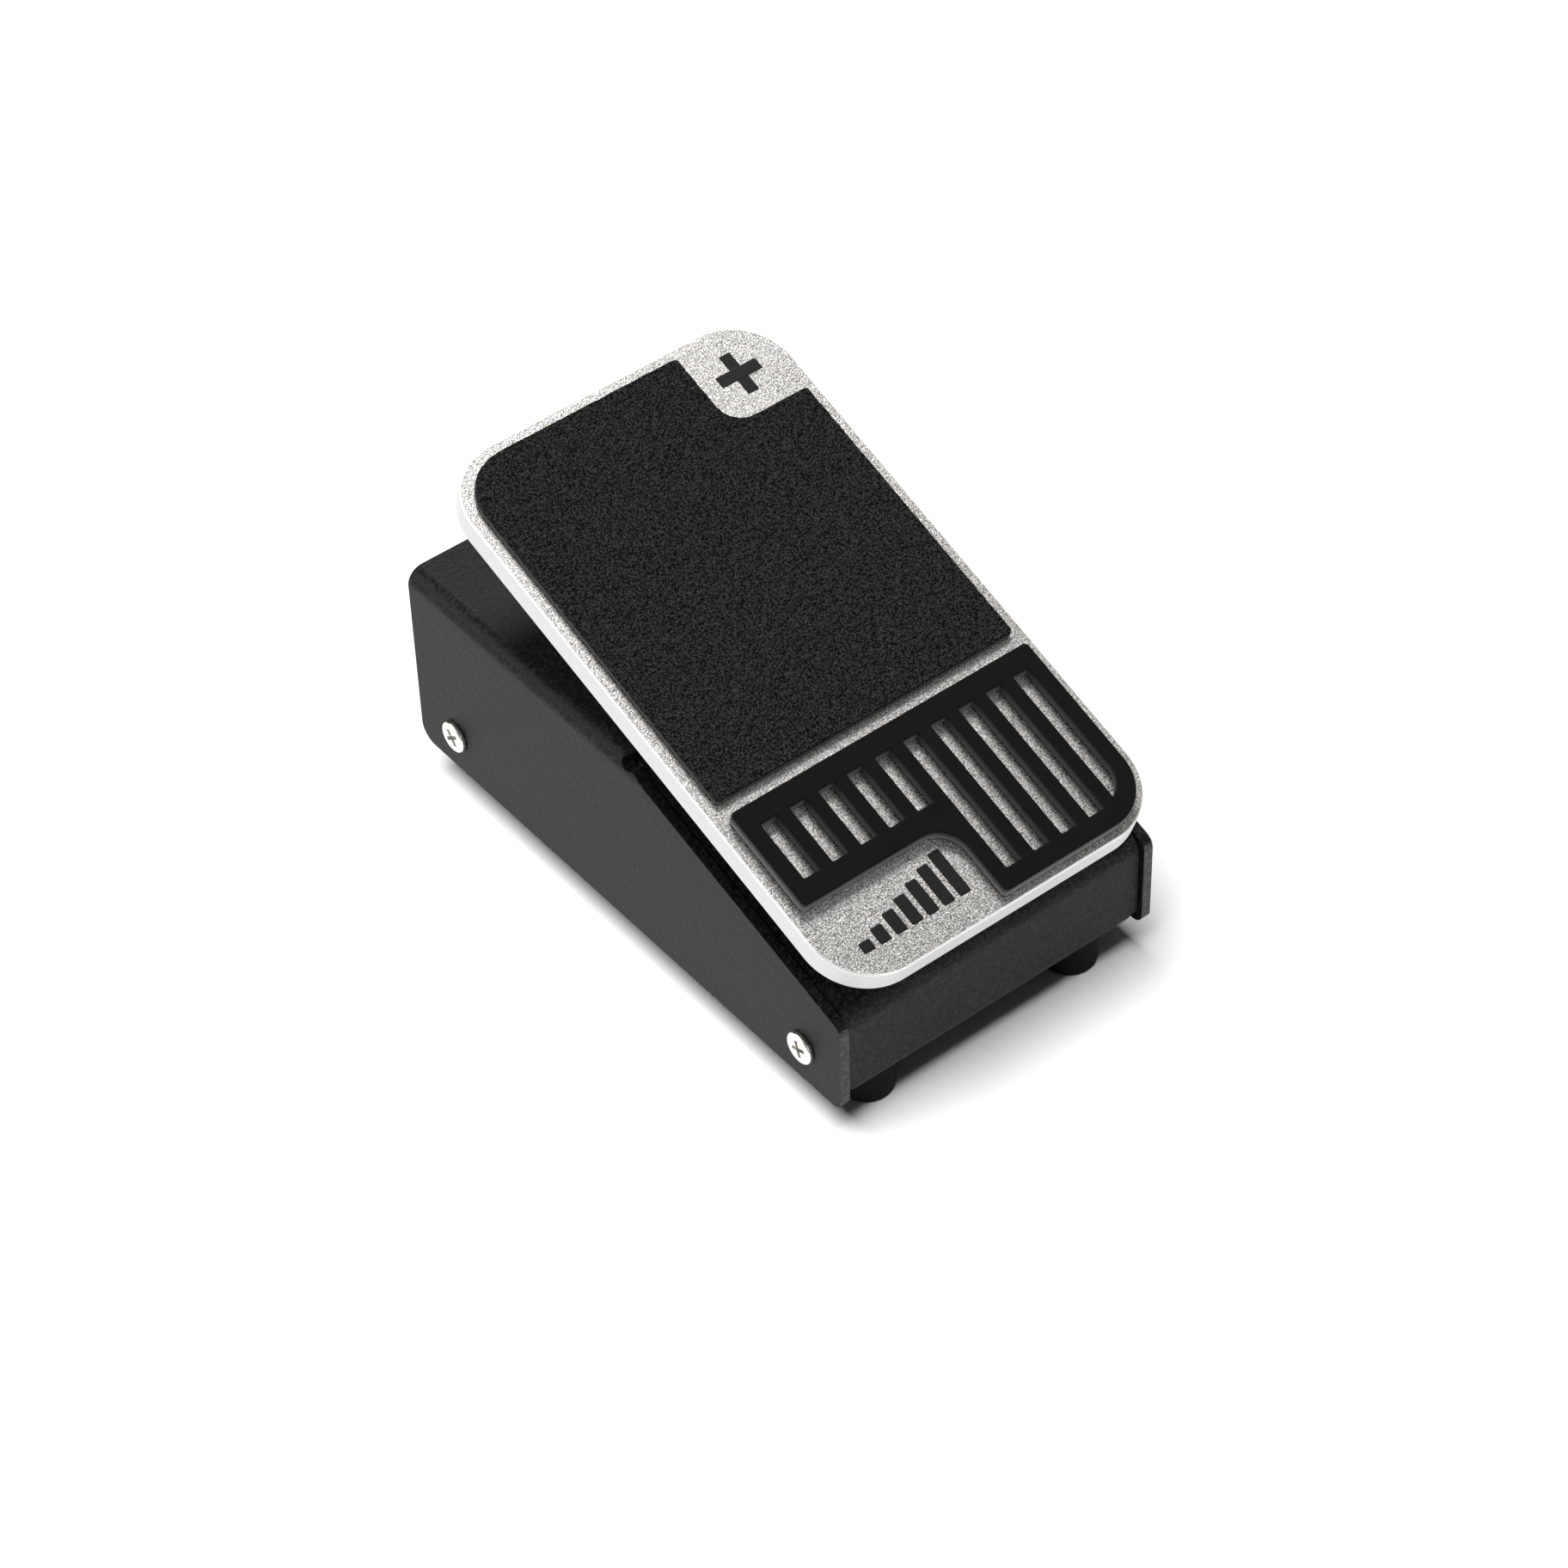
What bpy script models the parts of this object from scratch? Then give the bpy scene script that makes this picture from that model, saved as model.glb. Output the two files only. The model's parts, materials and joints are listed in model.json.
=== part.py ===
"""Compact volume pedal: a rocker treadle on a folded sheet enclosure, with its drive and sockets.

Run with: blender --background --python part.py
Metres, +Z up, +Y towards the toe end, +X to the player's right. The origin is on the ground, midway
along and across the pedal. The treadle is modelled heel down, which is the zero of its joint.
"""

from math import acos, asin, atan2, ceil, cos, pi, radians, sin, sqrt, tan

import bmesh
import bpy
from mathutils import Matrix, Vector

MM = 0.001

# ---------------------------------------------------------------- driving dimensions
# Enclosure
BODY_WIDTH = 61.0 * MM
BODY_LENGTH = 105.2 * MM
GROUND_TO_COVER = 6.5 * MM  # the side panels hang this far above the ground
COVER_HEIGHT = 35.0 * MM  # bottom edge of a side panel to the flat top
HEEL_EDGE_HEIGHT = 17.3 * MM  # bottom edge of a side panel to its upper edge at the heel
RIDGE_FROM_HEEL = 53.0 * MM  # where the sloping edge would meet the flat top
COVER_SHEET = 1.7 * MM
COVER_BEND = 2.9 * MM
TOP_EDGE_FROM_HEEL = 51.8 * MM  # where the flat top starts
RELIEF_RADIUS = 2.0 * MM  # round relief at the start of the top's two bends
TOP_EDGE_CUT = 8.0 * MM  # the sheet is cut away this far heelward of the top's edge
CHASSIS_SHEET = 1.5 * MM
CHASSIS_INSET = 0.8 * MM  # end walls and floor lie this far inside the side panels' edges
CHASSIS_BEND = 2.0 * MM

# Treadle, measured in its own frame: origin on the axle, Y along the plate, Z out of its top
TREADLE_TILT = radians(19.1)
AXLE_FROM_HEEL = 46.0 * MM
AXLE_HEIGHT = 31.0 * MM
PLATE_WIDTH = 61.3 * MM
PLATE_TOP = 18.7 * MM
PLATE_THICKNESS = 4.3 * MM
PLATE_HEEL = -45.9 * MM
PLATE_TOE = 58.4 * MM
PLATE_CORNER = 10.5 * MM
PAD_MARGIN = 2.2 * MM  # bare metal round the pads
GRIP_THICKNESS = 1.2 * MM
GRIP_HEEL = -10.0 * MM
GRIP_WINDOW = (14.0 * MM, 41.8 * MM)  # inner corner of the bare metal at the toe's right
HEEL_PAD_THICKNESS = 2.0 * MM
HEEL_PAD_TOE = -12.7 * MM
HEEL_PAD_STEP = (-1.3 * MM, -30.7 * MM)  # inner corner of the bare metal at the heel's left
SLOT_COUNT = 10
SLOT_PITCH = 5.37 * MM
SLOT_WIDTH = 3.1 * MM
SLOT_SHIFT = 0.15 * MM  # the row of slots sits a touch right of the plate's middle
SLOT_TOE = -16.4 * MM
SHORT_SLOT_HEEL = -27.0 * MM
LONG_SLOT_HEEL = -41.4 * MM
SLOT_ARC = 5.8 * MM  # the last slot's heel end follows this radius about the plate's corner

HEEL_BUMPER = 6.2 * MM  # heights of the rubber stops
TOE_BUMPER = 3.7 * MM

# Treadle yoke, axle and its bearings
ARM_INNER = 15.8 * MM
ARM_SHEET = 1.5 * MM
ARM_HALF = 4.0 * MM
AXLE_RADIUS = 2.5 * MM
AXLE_BORE = 2.57 * MM
BUSH_RADIUS = 3.5 * MM
FRAME_HEEL = 38.5 * MM
FRAME_TOE = 82.0 * MM
FRAME_SHEET = 1.5 * MM
BEARING_EAR_INNER = 18.9 * MM

# Potentiometer and jack sockets
POT_EAR_X = 5.8 * MM
POT_HEIGHT = 18.8 * MM
POT_BUSH_RADIUS = 3.5 * MM
POT_SHAFT_RADIUS = 3.0 * MM
POT_BORE = 3.07 * MM
JACK_X = 14.5 * MM
JACK_Z = 23.0 * MM
JACK_BUSH_RADIUS = 4.5 * MM
JACK_BORE = 3.2 * MM
JACK_BODY = 20.0 * MM
JACK_REACH = 3.5 * MM  # how far the sockets' threads stand past the side panels' toe edge
BOARD_LENGTH = 19.0 * MM
BOARD_THICKNESS = 1.6 * MM

# Gears
MODULE = 1.0 * MM
SECTOR_TEETH = 50
PINION_TEETH = 10
PRESSURE_ANGLE = radians(20)
BACKLASH = 0.14 * MM

# Fits
TOUCH = 0.1 * MM  # left between pieces that bear on each other
M3 = 1.5 * MM  # shank radius
M3_HOLE = 1.62 * MM
ROUND_STEPS = 32  # sides of a running fit's two surfaces

# ---------------------------------------------------------------- worked out from them
HEEL_Y = -BODY_LENGTH / 2
TOE_Y = BODY_LENGTH / 2
TOP_Z = GROUND_TO_COVER + COVER_HEIGHT
FLOOR_UNDER_Z = GROUND_TO_COVER + CHASSIS_INSET
FLOOR_Z = FLOOR_UNDER_Z + CHASSIS_SHEET
SLOPE = atan2(COVER_HEIGHT - HEEL_EDGE_HEIGHT, RIDGE_FROM_HEEL)
CHASSIS_HALF_WIDTH = BODY_WIDTH / 2 - COVER_SHEET - 0.3 * MM
SLOPE_DROP = 0.2 * MM  # chassis slope below the panels' sloping edges
CHASSIS_TOP_Z = TOP_Z - COVER_SHEET - 0.3 * MM
AXLE = Vector((0, HEEL_Y + AXLE_FROM_HEEL, AXLE_HEIGHT))
CENTRE_DISTANCE = MODULE * (SECTOR_TEETH + PINION_TEETH) / 2
MESH_ANGLE = -asin((AXLE_HEIGHT - POT_HEIGHT) / CENTRE_DISTANCE)
POT = AXLE + Vector((0, cos(MESH_ANGLE), sin(MESH_ANGLE))) * CENTRE_DISTANCE
SCREW_FROM_END = 9.3 * MM
SCREW_SHIFT = -0.4 * MM  # both pairs of side screws sit this far towards the heel of that
SCREW_HEIGHT = GROUND_TO_COVER + 6.9 * MM
FOOT_X = 20.2 * MM
FOOT_FROM_END = 7.0 * MM
FOOT_RECESS = 2.6 * MM  # radius of the recess for the foot's screw
SIDES = (("left", -1), ("right", 1))
ENDS = (("heel", HEEL_Y, 1), ("toe", TOE_Y, -1))


# ---------------------------------------------------------------- scene, materials
def clear_scene():
    for obj in list(bpy.data.objects):
        bpy.data.objects.remove(obj, do_unlink=True)
    for name in ("volume_pedal", "cutters"):
        old = bpy.data.collections.get(name)
        if old:
            bpy.data.collections.remove(old)


def new_collection(name):
    made = bpy.data.collections.new(name)
    bpy.context.scene.collection.children.link(made)
    return made


def make_material(name, colour, metallic, roughness):
    made = bpy.data.materials.new(name)
    made.use_nodes = True
    shader = made.node_tree.nodes["Principled BSDF"]
    shader.inputs["Base Color"].default_value = (*colour, 1)
    shader.inputs["Metallic"].default_value = metallic
    shader.inputs["Roughness"].default_value = roughness
    made.diffuse_color = (*colour, 1)
    return made


clear_scene()
PARTS = new_collection("volume_pedal")
CUTTERS = new_collection("cutters")
POWDER_COAT = make_material("powder_coat", (0.045, 0.045, 0.047), 0.0, 0.55)
ALUMINIUM = make_material("blasted_aluminium", (0.62, 0.60, 0.57), 1.0, 0.45)
GRIT = make_material("grit_rubber", (0.014, 0.014, 0.013), 0.0, 0.95)
RUBBER = make_material("smooth_rubber", (0.011, 0.011, 0.010), 0.0, 0.6)
NICKEL = make_material("nickel_plate", (0.70, 0.68, 0.62), 1.0, 0.25)
STEEL = make_material("zinc_steel", (0.50, 0.51, 0.53), 1.0, 0.35)
NYLON = make_material("nylon", (0.72, 0.70, 0.64), 0.0, 0.5)
BRASS = make_material("brass", (0.72, 0.52, 0.22), 1.0, 0.3)
PLASTIC = make_material("black_plastic", (0.02, 0.02, 0.02), 0.0, 0.4)
BOARD = make_material("board_green", (0.02, 0.13, 0.05), 0.0, 0.4)
WIRE = make_material("wire_red", (0.45, 0.03, 0.03), 0.0, 0.4)


# ---------------------------------------------------------------- modelling helpers
def link(name, mesh, material, collection, matrix=None):
    obj = bpy.data.objects.new(name, mesh)
    collection.objects.link(obj)
    if material and not mesh.materials:
        mesh.materials.append(material)
    if matrix is not None:
        obj.matrix_world = matrix
    if collection is CUTTERS:
        obj.hide_render = True
        obj.display_type = "WIRE"
    return obj


def frozen(obj):
    """The object's evaluated shape as a closed mesh of its own; the object itself is removed."""
    bpy.context.view_layer.update()
    graph = bpy.context.evaluated_depsgraph_get()
    mesh = bpy.data.meshes.new_from_object(obj.evaluated_get(graph))
    edited = bmesh.new()
    edited.from_mesh(mesh)
    bmesh.ops.remove_doubles(edited, verts=edited.verts, dist=1e-6)
    bmesh.ops.dissolve_limit(
        edited, angle_limit=radians(0.05), verts=edited.verts, edges=edited.edges
    )
    bmesh.ops.recalc_face_normals(edited, faces=edited.faces)
    edited.to_mesh(mesh)
    edited.free()
    bpy.data.objects.remove(obj, do_unlink=True)
    return mesh


def box(name, low, high, material=None, collection=None, matrix=None):
    mesh = bpy.data.meshes.new(name)
    shape = bmesh.new()
    bmesh.ops.create_cube(shape, size=1.0)
    low, high = Vector(low), Vector(high)
    bmesh.ops.scale(shape, vec=high - low, verts=shape.verts)
    bmesh.ops.translate(shape, vec=(high + low) / 2, verts=shape.verts)
    shape.to_mesh(mesh)
    shape.free()
    return link(name, mesh, material, collection or CUTTERS, matrix)


def rod(name, radius, length, matrix, material=None, collection=None, sides=16):
    """A cylinder from the matrix's origin along its +Z."""
    mesh = bpy.data.meshes.new(name)
    shape = bmesh.new()
    bmesh.ops.create_cone(
        shape, cap_ends=True, segments=sides, radius1=radius, radius2=radius, depth=length
    )
    bmesh.ops.translate(shape, vec=(0, 0, length / 2), verts=shape.verts)
    shape.to_mesh(mesh)
    shape.free()
    return link(name, mesh, material, collection or CUTTERS, matrix)


def placed(origin, along):
    """A frame at origin whose +Z points along the given direction."""
    turn = Vector((0, 0, 1)).rotation_difference(Vector(along).normalized())
    return Matrix.Translation(Vector(origin)) @ turn.to_matrix().to_4x4()


def side_view(x):
    """A frame for outlines drawn as seen from the side: local X is world Y, local Y is world Z."""
    return Matrix(((0, 0, 1, x), (1, 0, 0, 0), (0, 1, 0, 0), (0, 0, 0, 1)))


def rounded_outline(corners, step=radians(15)):
    """Points of a closed outline whose corners (x, y, radius) are turned into arcs."""
    points = []
    for i, (x, y, radius) in enumerate(corners):
        here = Vector((x, y))
        before = (Vector(corners[i - 1][:2]) - here).normalized()
        after = (Vector(corners[(i + 1) % len(corners)][:2]) - here).normalized()
        if radius == 0:
            points.append(here)
            continue
        half = before.angle(after) / 2
        centre = here + (before + after).normalized() * radius / sin(half)
        start = here + before * radius / tan(half) - centre
        turn = pi - 2 * half
        if before.cross(after) > 0:
            turn = -turn
        count = max(2, ceil(abs(turn) / step))
        first = atan2(start.y, start.x)
        for k in range(count + 1):
            angle = first + turn * k / count
            points.append(centre + Vector((cos(angle), sin(angle))) * radius)
    return points


def folded_sheet_corners(path, thickness):
    """Corners of a folded sheet's section.

    path is its outer face as (x, y, bend radius), with the metal on its right.
    """
    outer = [Vector(p[:2]) for p in path]
    inner = []
    for i, here in enumerate(outer):
        normals = []
        for a, b in ((i - 1, i), (i, i + 1)):
            if a >= 0 and b < len(outer):
                along = (outer[b] - outer[a]).normalized()
                normals.append(Vector((along.y, -along.x)))
        shift = sum(normals, Vector((0, 0)))
        if len(normals) == 2:
            shift /= 1 + normals[0].dot(normals[1])
        radius = path[i][2]
        inside = here + shift * thickness
        inner.append((inside.x, inside.y, radius - thickness if radius else 0))
    return list(path) + inner[::-1]


def slab(name, points, thickness, matrix, material=None, collection=None):
    """A flat outline given thickness, from the matrix's XY plane towards +Z."""
    curve = bpy.data.curves.new(name + "_outline", "CURVE")
    curve.dimensions = "2D"
    curve.fill_mode = "BOTH"
    curve.extrude = thickness / 2
    spline = curve.splines.new("POLY")
    spline.points.add(len(points) - 1)
    for point, place in zip(spline.points, points):
        point.co = (place[0], place[1], 0, 1)
    spline.use_cyclic_u = True
    outline = bpy.data.objects.new(name + "_outline", curve)
    bpy.context.scene.collection.objects.link(outline)
    mesh = frozen(outline)
    mesh.transform(Matrix.Translation((0, 0, thickness / 2)))
    mesh.name = name
    return link(name, mesh, material, collection or CUTTERS, matrix)


def turned(name, profile, matrix, material=None, collection=None, steps=16, closed=False):
    """A turned shape about the matrix's Z. The profile (radius, height) runs down its outer side."""
    mesh = bpy.data.meshes.new(name)
    shape = bmesh.new()
    ring = [shape.verts.new((radius, 0, height)) for radius, height in profile]
    for a, b in zip(ring, ring[1:] + ring[:1] if closed else ring[1:]):
        shape.edges.new((a, b))
    shape.to_mesh(mesh)
    shape.free()
    obj = link(name, mesh, material, collection or CUTTERS, matrix)
    screw = obj.modifiers.new("turn", "SCREW")
    screw.steps = screw.render_steps = steps
    screw.use_merge_vertices = True
    screw.merge_threshold = 1e-6
    return obj


def combine(obj, others, operation):
    for other in others:
        modifier = obj.modifiers.new(other.name, "BOOLEAN")
        modifier.operation = operation
        modifier.object = other
    return obj


def cut(obj, *cutters):
    return combine(obj, cutters, "DIFFERENCE")


def join(obj, *others):
    return combine(obj, others, "UNION")


def screw_mesh(head_radius, head_height, length, steps):
    """A pan-head machine screw with a cross recess. Its head stands on Z = 0 and its shank goes down."""
    profile = (
        (0, head_height),
        (head_radius * 0.50, head_height * 0.96),
        (head_radius * 0.82, head_height * 0.72),
        (head_radius, head_height * 0.30),
        (head_radius, 0),
        (M3, 0),
        (M3, -length),
        (0, -length),
    )
    screw = turned("screw_blank", profile, None, None, PARTS, steps)
    arm, width = head_radius * 0.55, head_radius * 0.13
    floor = head_height * 0.35
    across = box("screw_recess_a", (-arm, -width, floor), (arm, width, head_height * 2))
    along = box("screw_recess_b", (-width, -arm, floor), (width, arm, head_height * 2))
    mesh = frozen(cut(screw, across, along))
    for helper in (across, along):
        bpy.data.objects.remove(helper, do_unlink=True)
    return mesh


def add_screw(name, mesh, seat, out, material, parent=None):
    mesh.materials.clear()
    mesh.materials.append(material)
    return link(name, mesh, material, PARTS, (parent or Matrix()) @ placed(seat, out))


# ---------------------------------------------------------------- enclosure
def slope_z(y, drop=0.0):
    """Height of the panels' sloping upper edge, or of a plane the given drop below it."""
    return GROUND_TO_COVER + HEEL_EDGE_HEIGHT - drop + (y - HEEL_Y) * tan(SLOPE)


def add_cover():
    """Inverted U of painted sheet: two full-length side panels and a flat top over the toe half."""
    half = BODY_WIDTH / 2
    section = folded_sheet_corners(
        (
            (-half, GROUND_TO_COVER, 0),
            (-half, TOP_Z, COVER_BEND),
            (half, TOP_Z, COVER_BEND),
            (half, GROUND_TO_COVER, 0),
        ),
        COVER_SHEET,
    )
    end_view = Matrix(((1, 0, 0, 0), (0, 0, -1, TOE_Y), (0, 1, 0, 0), (0, 0, 0, 1)))
    cover = slab(
        "cover_shell", rounded_outline(section), BODY_LENGTH, end_view, POWDER_COAT, PARTS
    )
    over = 5 * MM
    reach = half + over
    top_edge_y = HEEL_Y + TOP_EDGE_FROM_HEEL
    side_outline = (
        (HEEL_Y, GROUND_TO_COVER, 2.0 * MM),
        (TOE_Y, GROUND_TO_COVER, 3.0 * MM),
        (TOE_Y, TOP_Z + over, 0),
        (top_edge_y, TOP_Z + over, 0),
        (top_edge_y, slope_z(top_edge_y), 0),
        (HEEL_Y, slope_z(HEEL_Y), 2.2 * MM),
    )
    blank = slab("cover_side_outline", rounded_outline(side_outline), 2 * reach, side_view(-reach))
    combine(cover, [blank], "INTERSECT")
    relief = (-reach, top_edge_y - RELIEF_RADIUS, slope_z(top_edge_y) + RELIEF_RADIUS * 0.2)
    cut(cover, rod("cut_relief", RELIEF_RADIUS, 2 * reach, placed(relief, (1, 0, 0)), sides=24))
    # Between the two bends the flat top starts with a straight edge, clear of the treadle's arms.
    between_bends = half - COVER_BEND
    square_low = (-between_bends, top_edge_y - TOP_EDGE_CUT, TOP_Z - COVER_SHEET - 1 * MM)
    cut(cover, box("cut_top_edge", square_low, (between_bends, top_edge_y, TOP_Z + over)))
    for end, end_y, inward in ENDS:
        hole = (-reach, end_y + inward * SCREW_FROM_END + SCREW_SHIFT, SCREW_HEIGHT)
        cut(cover, rod("cut_cover_hole_" + end, M3_HOLE, 2 * reach, placed(hole, (1, 0, 0))))


def add_chassis():
    """Folded sheet between the panels: toe wall, floor, heel wall, slope and a tab under the flat top."""
    toe_face = TOE_Y - CHASSIS_INSET
    heel_face = HEEL_Y + CHASSIS_INSET
    fold_y = HEEL_Y + (CHASSIS_TOP_Z - slope_z(HEEL_Y, SLOPE_DROP)) / tan(SLOPE)
    section = folded_sheet_corners(
        (
            (toe_face, CHASSIS_TOP_Z - 0.8 * MM, 0),
            (toe_face, FLOOR_UNDER_Z, CHASSIS_BEND),
            (heel_face, FLOOR_UNDER_Z, CHASSIS_BEND),
            (heel_face, slope_z(heel_face, SLOPE_DROP), 3.4 * MM),
            (fold_y, CHASSIS_TOP_Z, 3.0 * MM),
            (fold_y + 13 * MM, CHASSIS_TOP_Z, 0),
        ),
        CHASSIS_SHEET,
    )
    half = CHASSIS_HALF_WIDTH
    chassis = slab(
        "base_chassis", rounded_outline(section), 2 * half, side_view(-half), POWDER_COAT, PARTS
    )
    # Ears turned up from the floor take the side screws.
    for end, end_y, inward in ENDS:
        ear_y = end_y + inward * SCREW_FROM_END + SCREW_SHIFT
        for side, sign in SIDES:
            outer, inner = sign * half, sign * (half - CHASSIS_SHEET)
            ear = box(
                f"join_ear_{end}_{side}",
                (min(outer, inner), ear_y - 5 * MM, FLOOR_UNDER_Z + 0.4 * MM),
                (max(outer, inner), ear_y + 5 * MM, SCREW_HEIGHT + 4.5 * MM),
            )
            join(chassis, ear)
    for end, end_y, inward in ENDS:
        hole_y = end_y + inward * SCREW_FROM_END + SCREW_SHIFT
        hole = (-half - 2 * MM, hole_y, SCREW_HEIGHT)
        cut(
            chassis,
            rod("cut_ear_hole_" + end, M3_HOLE, 2 * half + 4 * MM, placed(hole, (1, 0, 0))),
        )
        # Relief notches at the ends of the two bends along the floor.
        for side, sign in SIDES:
            notch_y = end_y + inward * CHASSIS_INSET
            cut(
                chassis,
                box(
                    f"cut_notch_{end}_{side}",
                    (sign * half - 1.4 * MM, notch_y - 2.6 * MM, FLOOR_UNDER_Z - 2 * MM),
                    (sign * half + 1.4 * MM, notch_y + 2.6 * MM, FLOOR_UNDER_Z + 1.9 * MM),
                ),
            )
    # Chamfers keep the ridge and its tab clear of the inside of the cover's bends.
    for side, sign in SIDES:
        edge = Matrix.Translation((sign * half, HEEL_Y + 46 * MM, CHASSIS_TOP_Z))
        cut(
            chassis,
            box(
                "cut_chamfer_" + side,
                (-0.65 * MM, 0, -0.65 * MM),
                (0.65 * MM, 20 * MM, 0.65 * MM),
                matrix=edge @ Matrix.Rotation(radians(45), 4, "Y"),
            ),
        )
    # Slots that the treadle's two arms pass through, drawn square to the slope.
    for side, sign in SIDES:
        slope_frame = Matrix.Translation(AXLE) @ Matrix.Rotation(SLOPE, 4, "X")
        middle = sign * (ARM_INNER + ARM_SHEET / 2)
        cut(
            chassis,
            box(
                "cut_arm_slot_" + side,
                (middle - 1.5 * MM, -ARM_HALF - 0.8 * MM, 3 * MM),
                (middle + 1.5 * MM, ARM_HALF + 3.4 * MM, 12 * MM),
                matrix=slope_frame,
            ),
        )
    for x, y in foot_places() + frame_screw_places():
        below = placed((x, y, FLOOR_UNDER_Z - 2 * MM), (0, 0, 1))
        cut(chassis, rod("cut_floor_hole", M3_HOLE, 6 * MM, below))
    for side, sign in SIDES:
        inside = placed((sign * JACK_X, toe_face - 4 * MM, JACK_Z), (0, 1, 0))
        radius = JACK_BUSH_RADIUS + 0.15 * MM
        cut(chassis, rod("cut_jack_hole_" + side, radius, 6 * MM, inside, sides=24))


def foot_places():
    return [
        (sign * FOOT_X, end_y + inward * FOOT_FROM_END)
        for _, end_y, inward in ENDS
        for _, sign in SIDES
    ]


def frame_screw_places():
    alongs = (FRAME_HEEL + 4 * MM, FRAME_TOE - 4 * MM)
    return [(x, HEEL_Y + along) for along in alongs for x in (-11 * MM, 11 * MM)]


def add_feet(screw):
    """Four turned rubber feet, each held by a screw up into the floor."""
    seat = FLOOR_UNDER_Z - TOUCH
    recess = seat - 1.9 * MM
    profile = (
        (M3_HOLE, seat),
        (4.4 * MM, seat),
        (4.6 * MM, 0.8 * MM),
        (4.2 * MM, 0),
        (FOOT_RECESS, 0),
        (FOOT_RECESS, recess),
        (M3_HOLE, recess),
    )
    for number, (x, y) in enumerate(foot_places(), 1):
        ground = placed((x, y, 0), (0, 0, 1))
        turned(f"rubber_foot_{number}", profile, ground, RUBBER, PARTS, 24, True)
        add_screw(f"foot_screw_{number}", screw, (x, y, recess - TOUCH), (0, 0, -1), STEEL)


def add_side_screws(screw):
    """Four nickel screws through the side panels into the chassis ears."""
    for end, end_y, inward in ENDS:
        for side, sign in SIDES:
            seat_y = end_y + inward * SCREW_FROM_END + SCREW_SHIFT
            seat = (sign * (BODY_WIDTH / 2 + TOUCH), seat_y, SCREW_HEIGHT)
            add_screw(f"side_screw_{end}_{side}", screw, seat, (sign, 0, 0), NICKEL)


# ---------------------------------------------------------------- mechanism frame

def add_mechanism_frame(screw):
    """One folded plate on the floor: two ears for the axle and one for the potentiometer."""
    base_z = FLOOR_Z + TOUCH
    top_z = base_z + FRAME_SHEET
    half = BEARING_EAR_INNER + FRAME_SHEET
    frame = box(
        "mechanism_frame",
        (-half, HEEL_Y + FRAME_HEEL, base_z),
        (half, HEEL_Y + FRAME_TOE, top_z),
        STEEL,
        PARTS,
    )
    root = base_z + FRAME_SHEET / 3
    y, z = AXLE.y, AXLE.z
    for side, sign in SIDES:
        outline = (
            (y - 7.5 * MM, root, 0),
            (y + 7.5 * MM, root, 0),
            (y + 4.9 * MM, z + 5.0 * MM, 4.6 * MM),
            (y - 4.9 * MM, z + 5.0 * MM, 4.6 * MM),
        )
        x = BEARING_EAR_INNER if sign > 0 else -BEARING_EAR_INNER - FRAME_SHEET
        join(frame, slab("join_ear_" + side, rounded_outline(outline), FRAME_SHEET, side_view(x)))
    pot_outline = (
        (POT.y - 8.5 * MM, root, 0),
        (POT.y + 8.5 * MM, root, 0),
        (POT.y + 7.5 * MM, POT.z + 8 * MM, 4 * MM),
        (POT.y - 7.5 * MM, POT.z + 8 * MM, 4 * MM),
    )
    join(frame, slab("join_pot_ear", rounded_outline(pot_outline), FRAME_SHEET, side_view(POT_EAR_X)))
    slot = box(
        "cut_sector_slot",
        (-4.5 * MM, HEEL_Y + 49 * MM, base_z - MM),
        (4.5 * MM, HEEL_Y + 68 * MM, top_z + MM),
    )
    bearing = placed((-half - MM, y, z), (1, 0, 0))
    pot_hole = placed((POT_EAR_X - MM, POT.y, POT.z), (1, 0, 0))
    cut(
        frame,
        slot,
        rod("cut_bearing", BUSH_RADIUS + 0.1 * MM, 2 * half + 2 * MM, bearing, sides=ROUND_STEPS),
        rod("cut_pot_hole", POT_BUSH_RADIUS + 0.15 * MM, 4 * MM, pot_hole, sides=24),
    )
    for number, (x, place_y) in enumerate(frame_screw_places(), 1):
        below = placed((x, place_y, base_z - MM), (0, 0, 1))
        cut(frame, rod("cut_frame_thread", M3_HOLE, 4 * MM, below))
        seat = (x, place_y, FLOOR_UNDER_Z - TOUCH)
        add_screw(f"frame_screw_{number}", screw, seat, (0, 0, -1), STEEL)


def add_axle_bushes():
    """Flanged nylon bushes in the two ears, flanges towards the treadle's arms."""
    flange_end = BEARING_EAR_INNER - TOUCH
    flange_start = ARM_INNER + ARM_SHEET + 0.3 * MM
    profile = (
        (AXLE_BORE, BEARING_EAR_INNER + FRAME_SHEET + 0.2 * MM),
        (BUSH_RADIUS, BEARING_EAR_INNER + FRAME_SHEET + 0.2 * MM),
        (BUSH_RADIUS, flange_end),
        (4.7 * MM, flange_end),
        (4.7 * MM, flange_start),
        (AXLE_BORE, flange_start),
    )
    for side, sign in SIDES:
        frame = placed(AXLE, (sign, 0, 0))
        turned("axle_bush_" + side, profile, frame, NYLON, PARTS, ROUND_STEPS, True)


# ---------------------------------------------------------------- treadle assembly
def add_treadle_empty():
    """The treadle's frame: its origin is on the axle and it carries every piece that rocks."""
    empty = bpy.data.objects.new("treadle_axis", None)
    PARTS.objects.link(empty)
    empty.matrix_world = Matrix.Translation(AXLE) @ Matrix.Rotation(TREADLE_TILT, 4, "X")
    return empty


def ride(obj, empty):
    """Parent obj to empty. Its matrix so far is taken as its place in the empty's frame."""
    local = obj.matrix_world.copy() if obj.parent is None else obj.matrix_local.copy()
    obj.parent = empty
    obj.matrix_parent_inverse = Matrix()
    obj.matrix_basis = local
    return obj


def lifted(z):
    return Matrix.Translation((0, 0, z))


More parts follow.
